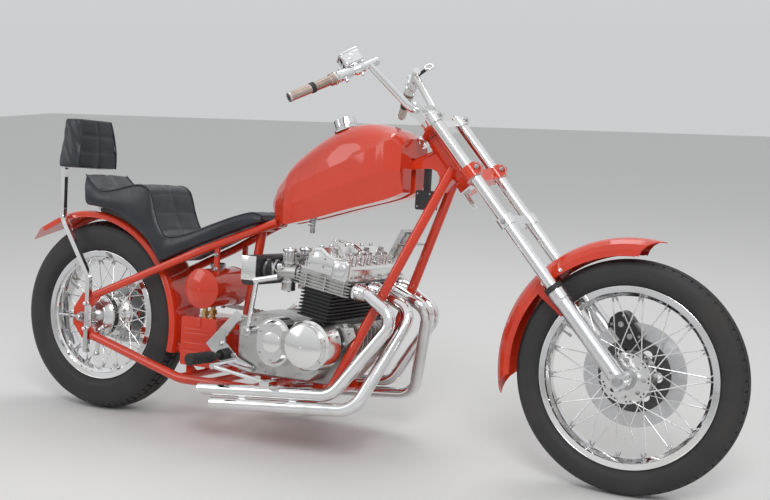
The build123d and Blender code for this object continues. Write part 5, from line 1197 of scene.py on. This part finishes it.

# %% [markdown]
# The control on the right grip is a pump with a square fluid box, and on the
# left stands a ring at the end of a short black arm. Both grips are plain
# satin tubes with one dark band.

# %% Bands, end rings, painted shade in the bar ends, and the clamped bodies round the grips
grip_start, grip_end = Vector((36, 133, 1150)), Vector((-168, 360, 1155))
bands_and_bore_shade = Piece(fork_place)
ends = Piece(fork_place)
perch = Piece(fork_place)
ring_rows = [
    # share along the grip, half width, inner radius
    (0.02, 3.0, 11.2), (0.49, 2.0, 17.8), (0.545, 2.0, 13.8),
]
for side, share_from, share_to, body in ((1, 0.20, 0.44, 18.1), (-1, 0.16, 0.46, 17.1)):
    inner = Vector((grip_start.x, side * grip_start.y, grip_start.z))
    outer = Vector((grip_end.x, side * grip_end.y, grip_end.z))
    way = (outer - inner).normalized()
    at = facing(inner.lerp(outer, 0.74), way)
    bands_and_bore_shade.turned([(13.8, -7), (15.6, -6), (15.9, 0), (15.6, 6), (13.8, 7)], at, 36)
    tip = facing(outer, way)
    ends.turned([(13.6, -6.4), (14.6, -5.6), (14.6, -2.8), (13.6, -2)], tip, 36)
    ends.turned([(12.9, -0.3), (12.6, 0.45), (9.8, 0.45), (9.4, -0.3)], tip, 36)
    # A black disc inside each end ring is painted shade for the open bore of the bar.
    bands_and_bore_shade.turned([(0, 0.15), (9.5, 0.15), (9.5, -0.4)], tip, 36)
    for share, wide, reach in ring_rows:
        ends.ring(reach, reach + 1.4, -wide, wide, facing(inner.lerp(outer, share), way), 36)
    low, high = inner.lerp(outer, share_from), inner.lerp(outer, share_to)
    length = (high - low).length
    waisted = [
        (11.4, 0), (body - 2, 0), (body, 2), (body, length * 0.34), (body - 3, length * 0.38),
        (body - 3, length * 0.52), (body, length * 0.56), (body, length - 2), (body - 2, length),
        (11.4, length),
    ]
    perch.turned(waisted, facing(low, way), 44)
    for share in (0.17, 0.78):
        spot = low + way * length * share
        for height in (-1, 1):
            perch.block((18, 11, 9), facing(spot + Vector((0, 0, height * (body - 1))), way, (1, 0, 0)), 2.0)
            ends.screw(spot + Vector((0, 0, height * (body + 3.4))), (0, 0, height), 3.6, 2.6)

# %% The pump's fluid box, on the right grip where the loop above ended
pump_at = inner.lerp(outer, 0.24)
box_frame = Matrix.Translation((pump_at.x, pump_at.y, 1164.2)) @ Matrix.Rotation(atan2(way.y, way.x), 4, "Z")
perch.block((61.6, 43.6, 40), box_frame @ Matrix.Translation((0, 0, 20)), 6.0, 4)
perch.block((61.8, 43.8, 7.6), box_frame @ Matrix.Translation((0, 0, 42.4)), 2.2, 3)
for x in (-25, 25):
    for y in (-16, 16):
        ends.screw(box_frame @ Vector((x, y, 46.0)), (0, 0, 1), 3.2, 1.4)
sight_glass = [(0, 0.4), (7, 0.4), (7.4, 0), (9, 0), (9, 1.8), (7.6, 2.4), (7, 1.0), (0, 1.0)]
for side in (1, -1):
    glass = box_frame @ Vector((6, side * 21.8, 22))
    ends.turned(sight_glass, facing(glass, box_frame.to_3x3() @ Vector((0, side, 0))), 28)
perch.done("hand_control_bodies", chrome, "chrome", "fork", ("hand_controls",), sharp=40)
bands_and_bore_shade.done("grip_bands_and_bore_shade", rubber, "rubber", "fork")

# %% The left arm with its ring
ring_at = Vector((62, 152, 1142))
arm_root = grip_start.lerp(grip_end, 0.22)
arm_end = ring_at - Vector((4, 0, 3))
arm_path = [arm_root + Vector((10, 4, 4)), arm_root.lerp(ring_at, 0.5) + Vector((0, 0, 3)), arm_end]
black_arm = Piece(fork_place)
black_arm.bar(arm_path, [7.5, 6.0, 5.0], 16)
black_arm.done("left_arm", black, "black_paint", "fork")
ring_turns = [2 * pi * step / 14 for step in range(15)]
ring_middle = arm_end + (arm_end - arm_root).normalized() * 14
ring_round = [(13 + 3.6 * cos(turn), 3.6 * sin(turn)) for turn in ring_turns]
ends.turned(ring_round, facing(ring_middle, (0.55, -0.62, 0.5)), 40)
ends.done("grip_ends", chrome, "chrome", "fork", sharp=50)

# %% [markdown]
# ## A tank without steps
#
# The CAD tank is a stack of straight spans. Here the same heights and half
# widths are read off smooth curves, so the steel flows from nose to tail while
# its two creases a side stay crisp. The channel for the spine stays open below.


# %% Heights and half widths along the tank
tank_rows = [
    # ahead, ridge, upper crease out and up, lower crease out and up, bottom out and up
    (650, 751, 7, 747, 8, 738, 7, 728),
    (672, 799, 27, 766, 31, 731, 27, 697),
    (722, 861, 61, 786, 64, 735, 60, 679),
    (771, 906, 70, 808, 73, 751, 64, 688),
    (838, 953, 81, 837, 84, 774, 68, 705),
    (899, 984, 91, 863, 94, 795, 73, 723),
    (950, 999, 97, 885, 100, 812, 76, 738),
    (1000, 1004, 103, 907, 106, 829, 80, 752),
    (1060, 998, 108, 933, 111, 849, 83, 768),
    (1110, 982, 111, 953, 114, 866, 84, 785),
    (1136, 962, 90, 934, 94, 862, 66, 800),
]


def tank_row(ahead):
    """The seven sizes at a distance ahead, on curves through the table."""
    spot = max(index for index, row in enumerate(tank_rows[:-1]) if row[0] <= ahead)
    low, high = tank_rows[spot], tank_rows[spot + 1]
    wide = high[0] - low[0]
    share = (ahead - low[0]) / wide
    sizes = []
    for column in range(1, 8):
        slopes = []
        for index in (spot, spot + 1):
            before, after = tank_rows[max(index - 1, 0)], tank_rows[min(index + 1, len(tank_rows) - 1)]
            slopes.append((after[column] - before[column]) / (after[0] - before[0]) * wide)
        a, b = low[column], high[column]
        cubic = (2 * a - 2 * b + slopes[0] + slopes[1]) * share ** 3
        cubic += (3 * b - 3 * a - 2 * slopes[0] - slopes[1]) * share ** 2 + slopes[0] * share + a
        straight = a + (b - a) * share
        ease = 0.25 if spot in (0, 1, len(tank_rows) - 2) else 1.0
        sizes.append(straight + (cubic - straight) * ease)
    return sizes


# %% Rings of the tank
tap_top = touch("fuel_tank", (818, -38, 640), (0, 0, 1))
tank_piece = Piece()
stations = []
for first, second in zip(tank_rows, tank_rows[1:]):
    count = max(2, round((second[0] - first[0]) / 9))
    stations += [first[0] + (second[0] - first[0]) * step / count for step in range(count)]
stations.append(tank_rows[-1][0])
rings = []
for ahead in stations:
    ridge, upper_out, upper, lower_out, lower, bottom_out, bottom = tank_row(ahead)
    drop = ridge - upper
    crown_knots = [(0, 0), (0.40, 0.08), (0.76, 0.40), (1, 1)]
    crown_line = smooth_path([(out * upper_out, ridge - down * drop, 0) for out, down in crown_knots], 5)
    side = [(point.x, point.y) for point in crown_line]
    side += [(lower_out, lower), (bottom_out, bottom)]
    roof = max(bottom, 645.8 + (ahead - 600) * 0.45 + 17.2)
    channel_out = min(15.6, bottom_out * 0.8)
    side += [(channel_out, bottom), (channel_out, roof), (0, roof)]
    whole = side + [(-out, up) for out, up in reversed(side[1:-1])]
    rings.append([tank_piece.mesh.verts.new((ahead, out, up)) for out, up in whole])

# %% Skin of the tank, with its creases rounded off
tank_mesh = tank_piece.mesh
ring_size = len(rings[0])
for behind, before in zip(rings, rings[1:]):
    for step in range(ring_size):
        after = (step + 1) % ring_size
        tank_mesh.faces.new((behind[step], before[step], before[after], behind[after]))
for ring in (rings[0], rings[-1]):
    tank_mesh.faces.new(ring)
marks = (15, 16, 17, ring_size - 15, ring_size - 16, ring_size - 17)
nose = rings[-1]
pairs = [(behind[mark], before[mark]) for behind, before in zip(rings, rings[1:]) for mark in marks]
pairs += [(nose[step], nose[step + 1]) for step in range(17)]
pairs += [(nose[-step], nose[(-step - 1) % ring_size]) for step in range(17)]
creases = [tank_mesh.edges.get(pair) for pair in pairs]
bmesh.ops.bevel(
    tank_mesh, geom=[edge for edge in creases if edge], offset=1.3, segments=1, profile=0.5, affect="EDGES",
    clamp_overlap=True, material=-1,
)
tank_piece.done("tank_shell", red, "red_paint", instead=("fuel_tank",), sharp=7)

# %% Filler neck and fuel tap
neck = Piece()
cap_frame = Matrix.Translation((899, 0, 983)) @ Matrix.Rotation(radians(-21), 4, "Y")
neck.turned([(33.4, -6), (41, -5), (42.6, -2.6), (42.6, 0.2), (37.6, 0.2), (33.4, -1)], cap_frame, 64)
neck.capped(8, 30, 32.6, 6.6, 33.6, cap_frame, 32)
neck.turned([(20, 31.0), (20, 32.2), (22, 33.4), (24, 32.2), (24, 31.0)], cap_frame, 64)
neck.done("filler_neck", chrome, "chrome", sharp=45)

tap = Piece()
tap_frame = Matrix.Translation(tap_top)
tap_bowl = [(0, -8), (8.2, -8), (8.2, -20), (7, -22), (7, -30), (8, -31), (8, -40), (6, -43), (0, -43)]
tap.turned([(0, 3), (14, 3), (14, -2), (9.4, -4), (9.4, -10), (0, -10)], tap_frame, 32)
tap.turned(tap_bowl, tap_frame, 28)
tap.capped(6, 0, 12, 4.4, 13.6, facing(tap_top + Vector((0, -6, -15)), (0, -1, 0)), 24)
tap.block((24, 3, 7), Matrix.Translation(tap_top + Vector((6, -20.6, -15))), 1.2)
tap.done("fuel_tap", steel, "steel", sharp=40)

# %% [markdown]
# ## Weld beads of the frame
#
# A bead follows the curve where one tube meets another. Rays run along the
# outside of the smaller tube until they strike its neighbour, and a rippled
# bar is bent through the points they find.


# %% Beads where tubes meet
beads = Piece()


def bead(tube_from, tube_to, radius, node, reach=70.0, size=1.9, count=30):
    """A weld round the end of a tube, on the face of a node."""
    start, goal = Vector(tube_from), Vector(tube_to)
    along = (goal - start).normalized()
    ring = facing(goal - along * reach, along)
    seats = []
    for step in range(count):
        turn = 2 * pi * step / count
        spot = ring @ Vector(((radius + 0.9) * cos(turn), (radius + 0.9) * sin(turn), 0))
        seat = touch(node, spot, along)
        seats.append(seat if 8 < (seat - spot).length < reach + 30 else None)
    open_ends = [index for index in range(count) if seats[index] and not seats[index - 1]]
    first = open_ends[0] if open_ends else 0
    seats = seats[first:] + seats[:first]
    points = seats[:seats.index(None)] if None in seats else seats
    if len(points) > count * 0.4:
        ripple = [size + 0.5 * (index % 2) for index in range(len(points))]
        beads.bar(points, ripple, 8, closed=len(points) == count)


joint_rows = [
    # from, to, radius, node that is met
    ((676, 0, 680), (1233.4, 0, 928.6), 15, "frame_spine"),
]
for side in (-1, 1):
    joint_rows += [
        ((962, side * 156, 168), (1252, side * 34, 830), 15, "frame_spine"),
        ((440, side * 101, 574), (676, side * 22, 680), 13, "frame_spine"),
    ]
    for ahead in (414, 538, 690, 900):
        node = "frame_loop_left" if side > 0 else "frame_loop_right"
        joint_rows.append(((ahead, 0, 167), (ahead, side * 153, 167), 12, node))
for row in joint_rows:
    bead(*row)
beads.done("weld_beads", red, "red_paint", sharp=60)

# %% [markdown]
# ## Rear end, oil tank and battery box
#
# The pressed ribs, rolled seams, nuts and screws of the parts behind the
# engine. Most of their seats are found by `touch`.

# %% Battery box ribs and straps
box = Piece()
for height in (234, 248, 276, 308, 322):
    for out in (-112.6, 60.6):
        box.block((112, 2.4, 5.0), Matrix.Translation((460, out, height)), 1.1)
for out in (-113.4, 61.4):
    box.block((16, 3.4, 26), Matrix.Translation((460, out, 346)), 1.4)
box.done("battery_box_trim", red, "red_paint", sharp=40)

# %% Oil tank seams, filler and drain
tank_ring = along_y(459, 0, 455)
seams = Piece()
for side in (-104.5, 75.0):
    seam = [(62.6, side - 2.4), (64.4, side - 2.0), (64.4, side + 2.0), (62.6, side + 2.4)]
    seams.turned(seam, tank_ring, 80)
seams.done("oil_tank_seams", red, "red_paint", sharp=40)

hardware = Piece()
filler = Matrix.Translation(touch("oil_tank", (459, -20, 700), (0, 0, -1)))
filler_cap = [(0, -3), (21, -3), (21, 4), (24, 5), (24, 15), (22, 17), (8, 18.4), (0, 18.4)]
hardware.turned(filler_cap, filler, 40)
for angle in range(0, 360, 20):
    rib = filler @ Matrix.Rotation(radians(angle), 4, "Z") @ Matrix.Translation((24, 0, 10))
    hardware.block((1.8, 2.2, 9), rib, 0.6, 1)
drain = Matrix.Translation(touch("oil_tank", (459, 20, 300), (0, 0, 1)))
hardware.turned([(0, 2), (9, 2), (9, -1), (7.6, -1.6), (7.6, -8), (0, -8)], drain, 6)
for side in (-87.2, 83.2):
    for up in (520, 566):
        hardware.bolt((497, side, up), (0, 1 if side > 0 else -1, 0), 10, 6)
hardware.done("oil_tank_hardware", steel, "steel", sharp=40)

# %% Axle ends, the sissy bar's nuts and the rear fender's screws
rear = Piece()
acorn_nut = [(0, 0), (8.4, 0), (8.4, 4.8), (6.4, 8.4), (3.4, 10.6), (0, 11.2)]
round_head = [(0, -0.4), (8.0, -0.4), (7.4, 2.0), (4.4, 3.8), (0, 4.4)]
for side in (-1, 1):
    outer = touch("rear_axle", (0, side * 260, 321), (0, -side, 0))
    rear.capped(8.6, 0, 5, 7.0, 6.6, facing(outer - Vector((0, side * 0.5, 0)), (0, side, 0)), 24)
    for up in (285, 369):
        seat = touch("sissy_bar", (28, side * 260, up), (0, -side, 0))
        rear.turned(acorn_nut, facing(seat, (0, side, 0)), 6)
    seat = touch("sissy_bar", (-132, side * 200, 650), (0, -side, 0))
    rear.bolt(seat, (0, side, 0), 10, 6)
for ahead, out, lean_back in ((-16, 26, 0), (-16, -26, 0), (-150, 0, 0.1)):
    seat = touch("rear_fender", (ahead, out, 900), (0, 0, -1))
    rear.turned(round_head, facing(seat, (lean_back, 0, 1)), 24)
rear.done("rear_bolts", chrome, "chrome", sharp=40)

# %% Rolled edge of the rear fender
rolled = Piece()
last = radians(118)
for side in (-1, 1):
    turns = [radians(angle) for angle in range(-12, 119, 3)]
    edge = [(-30 + 348.6 * cos(turn), side * 76.2, 306 + 348.6 * sin(turn)) for turn in turns]
    x, y, z = edge[-1]
    edge += [(x - reach * sin(last), y, z + reach * cos(last)) for reach in (14, 28, 42)]
    rolled.bar(edge, 2.2, 12)
rolled.done("rear_fender_edge", red, "red_paint", sharp=60)

# %% Screws of the regulator and the coil box
electric = Piece()
slope = facing((1112, 0, 643), (0.894, 0, -0.447), (0, 1, 0))
outwards = slope.to_3x3() @ Vector((0, 0, 1))
for across in (-36, 36):
    for along in (-40, 40):
        seat = touch("regulator", slope @ Vector((across, along, 60)), -outwards)
        electric.screw(seat, outwards, 4.0, 2.8)
for side in (-1, 1):
    for up in (762, 800):
        for ahead in (1164, 1204):
            seat = touch("coil_box", (ahead, side * 120, up), (0, -side, 0))
            electric.screw(seat, (0, side, 0), 3.2, 2.4)
electric.done("electric_screws", steel, "steel")

# %% Foot plates and ribbed pegs
feet = Piece()
pegs = Piece()
peg_rib = [(15.8, -3.4), (18.2, -2.6), (18.2, 2.6), (15.8, 3.4)]
for side in (-1, 1):
    lower, upper = Vector((575, side * 192, 258)), Vector((562, side * 300, 258))
    way = (upper - lower).normalized()
    for share in (0.12, 0.24, 0.36, 0.48, 0.60, 0.72, 0.84):
        pegs.turned(peg_rib, facing(lower.lerp(upper, share), way), 32)
    pegs.turned([(15.8, -7), (19.2, -6), (19.2, -2.4), (15.8, -1.2)], facing(upper, way), 32)
    for ahead, up in ((590, 300), (640, 268)):
        seat = touch("foot_controls", (ahead, side * 260, up), (0, -side, 0))
        if abs(seat.y) < 200:
            feet.bolt(seat, (0, side, 0), 12, 7)
feet.done("foot_plate_bolts", steel, "steel")
pegs.done("peg_rubbers", rubber, "rubber", sharp=40)

# %% The filter's bright end plate, with rows of small studs
end_plate = Piece()
seat = touch("air_filter", (700, -400, 545), (0, 1, 0))
end_plate.block((52, 3.4, 74), Matrix.Translation((seat.x, seat.y - 1.6, seat.z)), 1.5, 2)
for ahead in range(-20, 21, 5):
    for up in range(-30, 31, 5):
        at = facing((seat.x + ahead, seat.y - 3.2, seat.z + up), (0, -1, 0))
        end_plate.turned([(0, 0), (1.5, 0), (1.1, 0.6), (0, 0.6)], at, 8)
end_plate.done("filter_end_plate", polished, "bright_alloy", sharp=40)

# %% [markdown]
# ## Floor and light
#
# A wide pale floor, a white surround and three soft lamps. The lamps are
# large, so that their reflections run along the pipes as broad bands.

# %% Floor
floor_mesh = bpy.data.meshes.new("floor")
sheet = bmesh.new()
bmesh.ops.create_grid(sheet, x_segments=1, y_segments=1, size=14.0)
sheet.to_mesh(floor_mesh)
sheet.free()
floor = show("floor", floor_mesh)
floor_finish = Finish("pale_floor", (0.80, 0.80, 0.79), 0.75)
floor_finish.worn(0.7, 0.1, floor_finish.noise(4.0))
floor_mesh.materials.append(floor_finish.material)

# %% [markdown]
# What the camera and the polished metal see of the surround is brighter than
# what it lends to the machine, and it brightens a little with height.

# %% Surround
world = bpy.data.worlds.new("surround")
bpy.context.scene.world = world
world.use_nodes = True
surround = Web(world.node_tree)
backdrop = surround.tree.nodes["Background"]
rays = surround.tree.nodes.new("ShaderNodeLightPath")
ray_names = ("Is Camera Ray", "Is Glossy Ray", "Is Transmission Ray")
camera_ray, glossy_ray, clear_ray = [Flow(surround, rays.outputs[name]) for name in ray_names]
seen = camera_ray.sum("MAXIMUM", camera_ray, glossy_ray)
seen = seen.sum("MAXIMUM", seen, clear_ray)
strength = surround.node("ShaderNodeMapRange", {}, {"Value": seen, "To Min": 0.42, "To Max": 0.72})
backdrop.inputs["Color"].default_value = (0.98, 0.99, 1.0, 1.0)
direction = surround.node("ShaderNodeTexCoord", {}, {})
height = surround.node("ShaderNodeSeparateXYZ", {}, {0: direction}, output=2)
climb_sockets = {"Value": height, "From Max": 0.8, "To Min": 0.86, "To Max": 1.30}
climb = surround.node("ShaderNodeMapRange", {}, climb_sockets)
surround.feed(backdrop.inputs["Strength"], strength * climb)

# %% Lamps
lamp_table = [
    # name, place, size, watts
    ("key_lamp", (2.2, -3.2, 3.6), 1.7, 78.0),
    ("fill_lamp", (-3.2, -2.6, 2.6), 2.0, 24.0),
    ("top_lamp", (-0.2, 1.8, 4.2), 2.0, 40.0),
]
aim = Vector((0, 0, 0.5))
for name, spot, size, watts in lamp_table:
    lamp_data = bpy.data.lights.new(name, "AREA")
    lamp_data.size = size
    lamp_data.energy = watts
    lamp = show(name, lamp_data)
    lamp.location = spot
    lamp.rotation_euler = (aim - Vector(spot)).to_track_quat("-Z", "Y").to_euler()
bpy.context.scene.view_settings.view_transform = "Standard"
